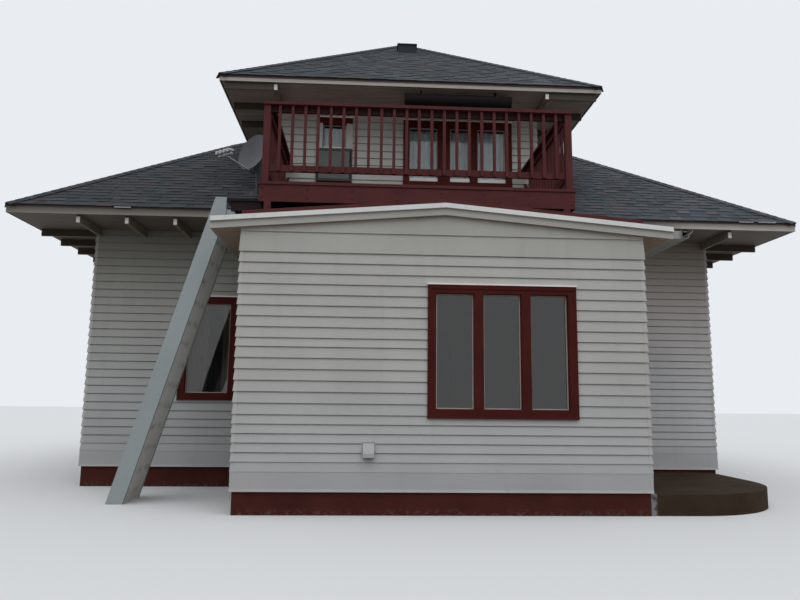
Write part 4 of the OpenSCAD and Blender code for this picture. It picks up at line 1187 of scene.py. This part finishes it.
class HOUSE_OT_eave_boards(bpy.types.Operator):
    """White boards along the foot of the eaves, white plates on the ends of the brackets and
    bits of bare metal that show under the shingles"""
    bl_idname = "house.eave_boards"
    bl_label = "Eave boards"

    BOARD_OUT = 0.009
    PLATE_THICK, PLATE_TALL, BRACKET_WIDE = 0.004, 0.090, 0.050
    # bits of metal as x0, x1, foot below the eave's top
    BARE = ((-4.49, -4.25, 0.036), (5.16, 5.39, 0.024), (5.47, 5.76, 0.020))

    def plates(self):
        thick, wide = self.PLATE_THICK, self.BRACKET_WIDE
        made = []
        for x0, y0, z0, x1, y1, _ in solid_boxes("eave_brackets"):
            heights = (z0 - HAIR, z0 + self.PLATE_TALL)
            # the upper corners' solids hold two brackets each, one to the side
            corner = min(x1 - x0, y1 - y0) > 4 * wide
            if corner or x1 - x0 > y1 - y0:
                x = x0 if x0 < -x1 else x1
                end = (x - thick, x) if x < 0 else (x, x + thick)
                inner = y1 - wide if y0 < MIDDLE else y0
                made.append(box("plate", *end, inner - HAIR, inner + wide + HAIR, *heights))
            if corner or x1 - x0 <= y1 - y0:
                end = (y0 - thick, y0) if y0 < MIDDLE else (y1, y1 + thick)
                inner = x1 - wide if x0 + x1 < 0 else x0
                made.append(box("plate", inner - HAIR, inner + wide + HAIR, *end, *heights))
        return made

    def execute(self, context):
        front, outs = MIDDLE - EAVE_OUT, (self.BOARD_OUT, self.BOARD_OUT)
        board = ring("eave_board", (-EAVE_OUT, EAVE_OUT, front, MIDDLE + EAVE_OUT),
                     EAVE_UNDER - 0.002, EAVE_UNDER + 0.088, *outs)
        # no eave board by the landing and the low roof: the dark fascia shows there as painted
        # shade under the landing
        middle = box("middle", low("roof_landing", "x") - 0.08, high("gutter", "x") - 0.2,
                     front - 0.1, front + 0.1, EAVE_UNDER - 0.1, EAVE_TOP)
        dress(carve(board, middle), "eave_paint")
        board = ring("upper_eave_board", (-UPPER_EAVE_OUT, UPPER_EAVE_OUT, UPPER_EAVE_FRONT,
                                          2 * MIDDLE - UPPER_EAVE_FRONT),
                     UPPER_EAVE_UNDER - 0.002, UPPER_EAVE_UNDER + 0.054, *outs)
        dress(carve(board, hip_cutter(0.012)), "upper_eave_paint")
        dress(join("bracket_plates", self.plates()), "white_end_paint")
        bits = [box("bit", x0, x1, front - 0.034, front - HAIR, EAVE_TOP - drop,
                    EAVE_TOP - drop + 0.016) for x0, x1, drop in self.BARE]
        dress(join("bare_edge_metal", bits), "galvanised")
        return {"FINISHED"}


class HOUSE_OT_rake_cap(bpy.types.Operator):
    """The bright folded metal along the top of the extension's front edge"""
    bl_idname = "house.rake_cap"
    bl_label = "Rake cap"

    def execute(self, context):
        front = low("extension_fascia", "y")
        half = high("extension_fascia", "x") - EXT_MIDDLE
        cap = box("rake_cap", EXT_MIDDLE - half, EXT_MIDDLE + half, front - 0.022,
                  front + 0.040, EXT_PEAK - 0.060, EXT_PEAK + 0.005)
        edit(cap)
        bpy.ops.mesh.bisect(plane_co=(EXT_MIDDLE, 0, 0), plane_no=(1, 0, 0))
        shift(cap, lambda c: c.z > EXT_PEAK - 0.01 and c.y < front, (0, 0.016, 0))
        shift(cap, lambda c: abs(c.x - EXT_MIDDLE) > half / 2, (0, 0, -half * EXT_PITCH))
        dress(outward(leave(cap)), "roof_edge_metal")
        return {"FINISHED"}


class HOUSE_OT_low_roof_sheets(bpy.types.Operator):
    """Roll roofing on the low roof: wide sheets that lap down both slopes"""
    bl_idname = "house.low_roof_sheets"
    bl_label = "Low roof sheets"

    SHEETS = 3  # on each slope
    OVERHANG, LAP = 0.02, 0.05
    THICK, THICKER, LAP_LIFT = 0.0050, 0.001, 0.0035

    def execute(self, context):
        y0 = low("extension_roof", "y")
        half = high("extension_roof", "x") - EXT_MIDDLE
        wide = half / self.SHEETS
        made = []
        for side in (-1, 1):
            turn = Matrix.Rotation(math.atan(EXT_PITCH), 4, "Y")
            if side < 0:
                turn = Matrix.Rotation(math.pi, 4, "Z") @ turn
                turn = Matrix.Translation((0, y0 + FRONT, 0)) @ turn
            for i in range(self.SHEETS):
                start = half - i * wide + (self.OVERHANG if i == 0 else 0)
                end = half - (i + 1) * wide - (self.LAP if i < self.SHEETS - 1 else 0)
                sheet = wedge("sheet", (end, start, y0 + 0.003, FRONT - 0.002, 0.0006,
                                        self.THICK + self.THICKER * i),
                              lambda c: c.x > (start + end) / 2 and c.z > 0.002,
                              (0, 0, self.LAP_LIFT))
                sheet.data.transform(Matrix.Translation((EXT_MIDDLE, 0, EXT_PEAK)) @ turn)
                made.append(sheet)
        piece = join("low_roof_sheets", made)
        set_tone(piece.data, SHEET_TONE)
        dress(piece, "shingle_granules")
        return {"FINISHED"}


# ---- windows ----

TURNS = {"front": 0, "back": math.pi, "left": -math.pi / 2, "right": math.pi / 2}


def window_spots():
    """Each window: its name, the matrix from its own place to the wall, its height, its
    panes and how thick its wall is."""
    rows = [("extension", "front", EXT_FRONT, window_place("extension_window"),
             TRIPLE_PANES, EXT_WALL_THICK),
            ("front", "front", FRONT, window_place("front_window"), SINGLE_PANES, WALL_THICK)]
    for i in (0, 1):
        rows += [(f"{side}_{i}", side, wall, window_place(f"{side}_windows", i),
                  SINGLE_PANES, WALL_THICK)
                 for side, wall in (("left", LEFT), ("right", RIGHT), ("back", BACK))]
    for side, wall in (("front", FRONT), ("back", BACK)):
        for label, place, panes in zip(("hung", "triple"),
                                       upper_window_places(f"upper_{side}_windows"),
                                       (HUNG_PANES, UPPER_PANES)):
            rows.append((f"upper_{side}_{label}", side, wall, place, panes, WALL_THICK))
    spots = []
    for name, side, wall, (x0, x1, y0, y1, z0, z1), panes, thick in rows:
        spot = ((x0 + x1) / 2, wall) if side in ("front", "back") else (wall, (y0 + y1) / 2)
        place = Matrix.Translation((*spot, z0)) @ Matrix.Rotation(TURNS[side], 4, "Z")
        spots.append((name, place, z1 - z0, panes, thick))
    return spots


def stop_ring(name, x0, x1, z0, z1, wide, y0, y1):
    """A moulding round a pane, whose upright sides slope from the frame in to the sash."""
    middle, inner = (x0 + x1) / 2, (x1 - x0) / 2 - wide
    piece = hollow_plate(name, (middle, y1, (z0 + z1) / 2), (math.pi / 2, 0, 0),
                         (x1 - x0, z1 - z0), wide, (0, y0 - y1, 0))
    for sign in (-1, 1):
        shift(piece, lambda c: c.y < (y0 + y1) / 2
              and abs(c.x - middle - sign * inner) < 0.0008, (sign * wide * 0.7, 0, 0))
    return outward(leave(piece))


class HOUSE_OT_window_trim(bpy.types.Operator):
    """Mouldings round the panes, casings, sill noses and the metal over each window's head"""
    bl_idname = "house.window_trim"
    bl_label = "Window trim"

    NOSE = -0.046  # how far sills and head metal stand before the wall
    STOP = (0.005, -0.018, 0.0395)  # width, front and back of the mouldings
    CASING = (0.050, -0.038, -0.0275)

    def execute(self, context):
        stops, heads = [], []
        for name, place, tall, panes, _ in window_spots():
            half = panes[-1][0] + panes[-1][1] + FRAME_WIDTH
            parts = [stop_ring(f"stop_{name}_{i}", x, x + wide, FRAME_WIDTH,
                               tall - FRAME_WIDTH, *self.STOP)
                     for i, (x, wide) in enumerate(panes)]
            parts.append(stop_ring(f"casing_{name}", -half, half, 0, tall, *self.CASING))
            sill = wedge("sill", (-half - 0.002, half + 0.002, self.NOSE, -0.001, -0.006,
                                  0.024), lambda c: c.y < -0.03 and c.z > 0, (0, 0, -0.008))
            parts.append(soften(sill, 0.004))
            head = wedge("head", (-half - 0.008, half + 0.008, self.NOSE, 0.002,
                                  tall + 0.0005, tall + 0.019),
                         lambda c: c.y > -0.01 and c.z > tall + 0.005, (0, 0, 0.006))
            for part in (*parts, head):
                part.data.transform(place)
            stops += parts
            heads.append(head)
        dress(join("window_mouldings", stops), "red_paint_upright")
        dress(join("window_head_metal", heads), "bright_metal")
        return {"FINISHED"}


class HOUSE_OT_upper_sashes(bpy.types.Operator):
    """The upper windows' white sash rails, and the double-hung windows' casings and screens"""
    bl_idname = "house.upper_sashes"
    bl_label = "Upper sashes"

    LOW_RAIL, MEETING_RAIL = (FRAME_WIDTH, FRAME_WIDTH + 0.073), (0.634, 0.680)
    FACE = -0.0275  # of the frame, behind which boards and screens don't reach

    def execute(self, context):
        rails, casings, screens, frames = [], [], [], []
        meet = self.MEETING_RAIL[0]
        for name, place, tall, panes, _ in window_spots():
            if not name.startswith("upper"):
                continue
            rail = self.LOW_RAIL if name.endswith("triple") else self.MEETING_RAIL
            made = [(rails, box("rail", x + HAIR, x + wide - HAIR, 0.006, 0.037, *rail))
                    for x, wide in panes]
            if name.endswith("hung"):
                half = panes[0][1] / 2
                for side in (-1, 1):
                    x0, x1 = sorted((side * half, side * (half + FRAME_WIDTH + HAIR)))
                    made.append((casings, box("casing", x0, x1, -0.044, self.FACE, meet,
                                              tall - FRAME_WIDTH)))
                made.append((screens, box("screen", -0.262, 0.262, -0.046, self.FACE,
                                          0.10, 0.60)))
                made.append((frames, stop_ring("screen_frame", -0.300, 0.300, 0.062, meet,
                                               0.042, -0.054, -0.0270)))
            for group, piece in made:
                piece.data.transform(place)
                group.append(piece)
        for name, group, paint, slot in (
                ("upper_sash_rails", rails, "white_end_paint", "white_metal"),
                ("upper_casings", casings, "paint_on_flat_boards", "siding"),
                ("window_screens", screens, "screen_mesh", "grey_metal"),
                ("screen_frames", frames, "dark_bronze", "grey_metal")):
            dress(join(name, group), paint)
        return {"FINISHED"}


class HOUSE_OT_curtains(bpy.types.Operator):
    """Curtains on rods behind the panes"""
    bl_idname = "house.curtains"
    bl_label = "Curtains"

    FOLD, SWING, ROWS = 0.075, 0.018, 18  # width and depth of a fold, rows of faces
    BEHIND = 0.06  # how far the rod hangs behind the wall
    FOOT, HUNG_FOOT = 0.03, 0.60

    def curtain(self, name, place, x0, x1, z0, z1, deep):
        """A gathered curtain: a grid bent into upright folds that grow towards the hem. Gives
        it with its flat width and length."""
        folds = max(3, round((x1 - x0) / self.FOLD))
        clear()
        bpy.ops.mesh.primitive_grid_add(x_subdivisions=max(24, folds * 10),
                                        y_subdivisions=self.ROWS, size=1)
        piece = settle(name)
        wide, tall = x1 - x0, z1 - z0
        for vertex in piece.data.vertices:
            u, v = vertex.co.x + 0.5, vertex.co.y + 0.5
            phase = u * folds * 2 * math.pi
            swing = self.SWING * (0.55 + 0.45 * (1 - v))
            depth = math.sin(phase) * swing + 0.25 * swing * math.sin(2.3 * phase + 1.0)
            vertex.co = (x0 + wide * u, deep + depth, z0 + tall * v)
        piece.data.transform(place)
        piece.data.update()
        take(piece)
        bpy.ops.object.shade_smooth()
        area = sum(face.area for face in piece.data.polygons)
        return piece, (area / tall, tall)

    def execute(self, context):
        rods, hung = [], []
        for name, place, tall, panes, thick in window_spots():
            half = panes[-1][0] + panes[-1][1]
            deep = thick + self.BEHIND
            top = tall - (0.075 if name.startswith("upper") else 0.03)
            parts = [rod("bar", (-half - 0.06, deep, top), (half + 0.06, deep, top), 0.008, 12)]
            parts += [rod("end", (s * (half + 0.04), thick, top),
                          (s * (half + 0.04), deep, top), 0.006, 8) for s in (-1, 1)]
            bar = join("bar", parts)
            bar.data.transform(place)
            rods.append(bar)
            foot = self.FOOT
            if name == "extension":
                spans = ()
            elif name.endswith("triple"):
                spans = [(x - 0.03, x + wide + 0.03) for x, wide in panes]
            elif name.endswith("hung"):
                spans, foot = [(-half - 0.03, half + 0.03)], self.HUNG_FOOT
            else:
                spans = [(-half - 0.02, -half + 0.30), (half - 0.16, half + 0.02)]
            hung += [self.curtain(f"curtain_{name}_{i}", place, x0, x1, foot, top + 0.006,
                                  deep) for i, (x0, x1) in enumerate(spans)]
        dress(join("curtain_rods", rods), "galvanised")
        for piece, flat in hung:
            dress(piece, "curtain_cloth")
        return {"FINISHED"}


# ---- fittings ----


def bolt(name, radius, tall):
    """A round bolt head, domed."""
    clear()
    bpy.ops.mesh.primitive_cylinder_add(vertices=10, radius=radius, depth=tall,
                                        location=(0, 0, tall / 2))
    piece = settle(name)
    edit(piece)
    pick(piece, "faces", lambda c: c.z > tall * 0.9)
    bpy.ops.mesh.inset(thickness=radius * 0.35)
    bpy.ops.transform.translate(value=(0, 0, tall * 0.35))
    return leave(piece)


def spread(start, end, margin, count):
    """Evenly spaced places from one end to the other, each end a margin away."""
    return [start + margin + i * (end - start - 2 * margin) / (count - 1)
            for i in range(count)]


class HOUSE_OT_fastenings(bpy.types.Operator):
    """Bolts through the deck's rim and screws in its boards"""
    bl_idname = "house.fastenings"
    bl_label = "Fastenings"

    ACROSS, BOARDS, BOARD_GAP = 8, 10, 0.006
    BOLT_DROPS, SCREWS_IN_BOARD = (0.06, 0.17), (0.25, 0.75)

    def execute(self, context):
        x0, x1 = low("deck_frame", "x"), high("deck_frame", "x")
        front, top = low("deck_frame", "y"), low("deck", "z")
        face = Matrix.Rotation(math.pi / 2, 4, "X")
        places = [Matrix.Translation((x, front, top - drop)) @ face
                  for x in spread(x0, x1, 0.045, self.ACROSS) for drop in self.BOLT_DROPS]
        dress(lay("rim_bolts", bolt("bolt", 0.011, 0.006), places), "deck_paint_across")
        y0, y1 = low("deck", "y"), high("deck", "y")
        step = (y1 - y0 + self.BOARD_GAP) / self.BOARDS
        places = [Matrix.Translation((x, y0 + (n + part) * step, DECK_TOP))
                  for n in range(self.BOARDS) for x in spread(x0, x1, 0.019, self.ACROSS)
                  for part in self.SCREWS_IN_BOARD]
        dress(lay("deck_screws", bolt("screw", 0.005, 0.0015), places), "galvanised")
        return {"FINISHED"}


class HOUSE_OT_door_fittings(bpy.types.Operator):
    """The side door's knob, rose, hinges and threshold"""
    bl_idname = "house.door_fittings"
    bl_label = "Door fittings"

    CASING, STEP_TALL = 0.10, 0.04
    KNOB_IN, KNOB_UP = 0.075, 1.0
    HINGES_UP, HINGE_TALL = (0.22, 1.0, 1.78), 0.1

    def execute(self, context):
        face = EXT_RIGHT - 0.050
        y0 = low("side_door", "y") + self.CASING
        y1 = high("side_door", "y") - self.CASING
        z0 = low("side_door", "z") + self.STEP_TALL
        spot = (y0 + self.KNOB_IN, z0 + self.KNOB_UP)
        parts = [soften(rod("rose", (face, *spot), (face + 0.008, *spot), 0.03, 24), 0.003),
                 rod("neck", (face, *spot), (face + 0.045, *spot), 0.010)]
        clear()
        bpy.ops.mesh.primitive_uv_sphere_add(segments=24, ring_count=12, radius=0.027,
                                             location=(face + 0.058, *spot),
                                             scale=(0.75, 1, 1))
        parts.append(settle("knob"))
        bpy.ops.object.shade_smooth()
        for up in self.HINGES_UP:
            z = z0 + up
            parts.append(box("hinge", face - 0.002, face + 0.004, y1 - 0.035, y1, z,
                             z + self.HINGE_TALL))
            parts.append(rod("pin", (face + 0.006, y1 - 0.002, z - 0.004),
                             (face + 0.006, y1 - 0.002, z + self.HINGE_TALL + 0.004),
                             0.006, 12))
        dress(join("door_knob_and_hinges", parts), "dark_bronze")
        step = box("door_threshold", EXT_RIGHT - 0.10, EXT_RIGHT + 0.05, y0 - 0.07,
                   y1 + 0.07, z0 - 0.045, z0 - 0.004)
        dress(soften(step, 0.006), "galvanised")
        return {"FINISHED"}


class HOUSE_OT_gutter_shade_fill(bpy.types.Operator):
    """A dark fill in the gutter, drawn as rotted leaves, as painted shade inside it"""
    bl_idname = "house.gutter_litter"
    bl_label = "Gutter litter"

    def execute(self, context):
        (x0, y0, _), (_, y1, z1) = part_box("gutter")
        clear()
        bpy.ops.mesh.primitive_grid_add(x_subdivisions=6, y_subdivisions=90, size=1)
        piece = settle("gutter_litter")
        dice = random.Random(9)
        for vertex in piece.data.vertices:
            u, v = vertex.co.x + 0.5, vertex.co.y + 0.5
            vertex.co = (x0 + 0.116 + 0.108 * u, y0 + 0.012 + (y1 - y0 - 0.03) * v,
                         z1 - 0.028 + dice.uniform(-0.004, 0.004))
        apply(piece, "SOLIDIFY", thickness=0.006, offset=-1)
        dress(piece, "litter")
        return {"FINISHED"}


class HOUSE_OT_gutter_hangers(bpy.types.Operator):
    """Straps across the gutter"""
    bl_idname = "house.gutter_hangers"
    bl_label = "Gutter hangers"

    FIRST, STEP, COUNT, HALF_WIDE = 0.25, 0.58, 5, 0.012

    def execute(self, context):
        (x0, y0, _), (x1, _, top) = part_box("gutter")
        places = [Matrix.Translation((0, y0 + self.FIRST + i * self.STEP, 0))
                  for i in range(self.COUNT)]
        strap = box("strap", x0 + 0.105, x1 - 0.004, -self.HALF_WIDE, self.HALF_WIDE,
                    top - 0.009, top - 0.005)
        dress(lay("gutter_hangers", soften(strap, 0.0015), places), "roof_edge_metal")
        return {"FINISHED"}


# ---- finishes of the solids ----

NODE_FINISHES = {
    "plaster": ("front_wall", "left_wall", "right_wall", "back_wall", "upper_front_wall",
                "upper_back_wall", "cheek_walls", "extension_front_wall",
                "extension_left_wall", "extension_right_wall"),
    "paint_on_flat_boards": ("extension_fascia", "side_door", "air_vent"),
    "painted_concrete": ("main_foundation", "extension_foundation"),
    "bare_concrete": ("stoop",),
    "oiled_boards": ("main_floor", "upper_floor", "extension_floor"),
    "shingle_granules": ("main_roof", "upper_roof", "ridge_vent"),
    "stained_boards": ("main_soffit",),
    "upper_stained_boards": ("upper_soffit", "upper_frieze"),
    "low_roof_boards": ("extension_roof",),
    "eave_stain": ("main_fascia", "upper_fascia"),
    "bracket_stain": ("eave_brackets",),
    "gutter_metal": ("gutter",),
    "paint_on_ladder": ("ladder_stringers", "ladder_treads"),
    "paint_on_ladder_back": ("ladder_back",),
    "red_paint_upright": ("extension_window", "front_window", "left_windows",
                          "right_windows", "back_windows", "upper_front_windows",
                          "upper_back_windows"),
    "front_railing_paint": ("front_railing",),
    "deck_paint_upright": ("left_railing", "right_railing"),
    "deck_paint_across": ("deck", "deck_frame", "roof_edge_strip"),
    "landing_stain": ("roof_landing",),
    "ground_panes": ("ground_glass",),
    "upper_panes": ("upper_glass",),
    "sash_putty": ("window_sashes",),
    "grey_coat": ("dish_reflector",),
    "mast_metal": ("dish_mount",),
    "black_cloth": ("sun_shade",),
}


class HOUSE_OT_paint_solids(bpy.types.Operator):
    """Gives every solid its finish"""
    bl_idname = "house.paint_solids"
    bl_label = "Paint the solids"

    def execute(self, context):
        missing = set(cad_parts)
        for name, nodes in NODE_FINISHES.items():
            for node in nodes:
                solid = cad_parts[node]
                solid.data.materials.clear()
                solid.data.materials.append(finish(name))
                missing.remove(node)
        if missing:
            raise RuntimeError(f"no finish for {sorted(missing)}")
        return {"FINISHED"}


# ---- stage ----

LENS_PIXELS = 682.68
PHOTO_WIDTH = 800
SENSOR_MM = 36
CAMERA_PLACE = (-0.7166, -15.3634, 1.38)
CAMERA_YAW, CAMERA_PITCH, CAMERA_ROLL = 0.0528, 0.1454, 0.0110
FLOOR_SIZE, FAR_ENOUGH = 160, 300
# an overcast sky: brightest overhead, where the sun is spread wide behind the clouds
SKY_AT_HORIZON, SKY_OVERHEAD = 0.55, 1.30
SUN_STRENGTH, SUN_SPREAD, SUN_TURN = 1.0, 75, (30, 0, 6)


def seen_by(tree, *rays):
    """1 for the rays of these kinds, which see the background as it should show."""
    seen, *others = [add(tree, "LightPath", out=f"Is {ray} Ray") for ray in rays]
    for other in others:
        seen = add(tree, "Math", (seen, other), operation="MAXIMUM")
    return seen


class HOUSE_OT_stage(bpy.types.Operator):
    """The pale floor, the soft light and the camera"""
    bl_idname = "house.stage"
    bl_label = "Stage"

    def floor(self):
        clear()
        bpy.ops.mesh.primitive_plane_add(size=FLOOR_SIZE, location=(0, 0, 0))
        floor = settle("stage_floor")
        material, tree, _ = blank("stage_floor")
        shade = stained(tree, linear("#706960"), linear("#c9cacb"),
                        seen_by(tree, "Camera", "Glossy"))
        shader = add(tree, "BsdfPrincipled", {"Base Color": shade, "Roughness": 1.0,
                                              "Specular IOR Level": 0.0})
        add(tree, "OutputMaterial", {"Surface": shader})
        floor.data.materials.append(material)

    def light(self, context):
        world = bpy.data.worlds.new("stage_sky")
        context.scene.world = world
        world.use_nodes = True
        tree = world.node_tree
        tree.nodes.clear()
        rise = add(tree, "SeparateXYZ", (add(tree, "TexCoord"),), "Z")
        level = add(tree, "MapRange", (rise, 0, 1, SKY_AT_HORIZON, SKY_OVERHEAD))
        lit = add(tree, "Background", (linear("#f1f4f8"), level))
        shown = add(tree, "Background", (linear("#e9edf2"), 1.0))
        seen = seen_by(tree, "Camera", "Glossy", "Transmission")
        add(tree, "OutputWorld", (add(tree, "MixShader", (seen, lit, shown)),))
        bpy.ops.object.light_add(type="SUN", location=(0, 0, 20),
                                 rotation=[math.radians(turn) for turn in SUN_TURN])
        sun = context.object
        sun.name = "soft_sun"
        sun.data.energy = SUN_STRENGTH
        sun.data.angle = math.radians(SUN_SPREAD)
        sun.data.color = (1.0, 0.995, 0.985)

    def camera(self, context):
        ahead = Vector((math.sin(CAMERA_YAW) * math.cos(CAMERA_PITCH),
                        math.cos(CAMERA_YAW) * math.cos(CAMERA_PITCH),
                        math.sin(CAMERA_PITCH)))
        right = Vector((math.cos(CAMERA_YAW), -math.sin(CAMERA_YAW), 0))
        up = right.cross(ahead)
        rolled_right = right * math.cos(CAMERA_ROLL) + up * math.sin(CAMERA_ROLL)
        rolled_up = -right * math.sin(CAMERA_ROLL) + up * math.cos(CAMERA_ROLL)
        turn = Matrix((rolled_right, rolled_up, -ahead)).transposed().to_4x4()
        bpy.ops.object.camera_add()
        camera = context.object
        camera.name = "camera"
        camera.matrix_world = Matrix.Translation(CAMERA_PLACE) @ turn
        camera.data.sensor_fit = "HORIZONTAL"
        camera.data.sensor_width = SENSOR_MM
        camera.data.lens = LENS_PIXELS / PHOTO_WIDTH * SENSOR_MM
        camera.data.clip_end = FAR_ENOUGH
        context.scene.camera = camera

    def execute(self, context):
        self.floor()
        self.light(context)
        self.camera(context)
        context.scene.view_settings.view_transform = "Standard"
        return {"FINISHED"}


class HOUSE_PT_panel(bpy.types.Panel):
    """Lists the parts of the house"""
    bl_label = "Clapboard House"
    bl_idname = "HOUSE_PT_panel"
    bl_space_type = "VIEW_3D"
    bl_region_type = "UI"
    bl_category = "House"

    def draw(self, context):
        for group in (context.scene.house_sizes, context.scene.house_colours):
            for key in group.__annotations__:
                self.layout.prop(group, key)
        for operator in OPERATORS:
            self.layout.operator(operator.bl_idname)


OPERATORS = (
    HOUSE_OT_clapboards, HOUSE_OT_corner_caps, HOUSE_OT_skirt_boards, HOUSE_OT_gable_boards,
    HOUSE_OT_shingles, HOUSE_OT_roof_caps, HOUSE_OT_eave_boards, HOUSE_OT_rake_cap,
    HOUSE_OT_low_roof_sheets, HOUSE_OT_window_trim, HOUSE_OT_upper_sashes,
    HOUSE_OT_curtains, HOUSE_OT_gutter_shade_fill, HOUSE_OT_fastenings, HOUSE_OT_door_fittings,
    HOUSE_OT_gutter_hangers, HOUSE_OT_paint_solids, HOUSE_OT_stage)


def register():
    for group in (HouseSizes, HouseColours, *OPERATORS, HOUSE_PT_panel):
        bpy.utils.register_class(group)
    bpy.types.Scene.house_sizes = bpy.props.PointerProperty(type=HouseSizes)
    bpy.types.Scene.house_colours = bpy.props.PointerProperty(type=HouseColours)


def unregister():
    del bpy.types.Scene.house_colours
    del bpy.types.Scene.house_sizes
    for group in (HOUSE_PT_panel, *reversed(OPERATORS), HouseColours, HouseSizes):
        bpy.utils.unregister_class(group)


def main():
    register()
    bpy.ops.house.clapboards()
    bpy.ops.house.corner_caps()
    bpy.ops.house.skirt_boards()
    bpy.ops.house.gable_boards()
    bpy.ops.house.shingles()
    bpy.ops.house.roof_caps()
    bpy.ops.house.eave_boards()
    bpy.ops.house.rake_cap()
    bpy.ops.house.low_roof_sheets()
    bpy.ops.house.window_trim()
    bpy.ops.house.upper_sashes()
    bpy.ops.house.curtains()
    bpy.ops.house.gutter_litter()
    bpy.ops.house.fastenings()
    bpy.ops.house.door_fittings()
    bpy.ops.house.gutter_hangers()
    bpy.ops.house.paint_solids()
    bpy.ops.house.stage()
    clear()
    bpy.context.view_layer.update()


if __name__ == "__main__":
    main()
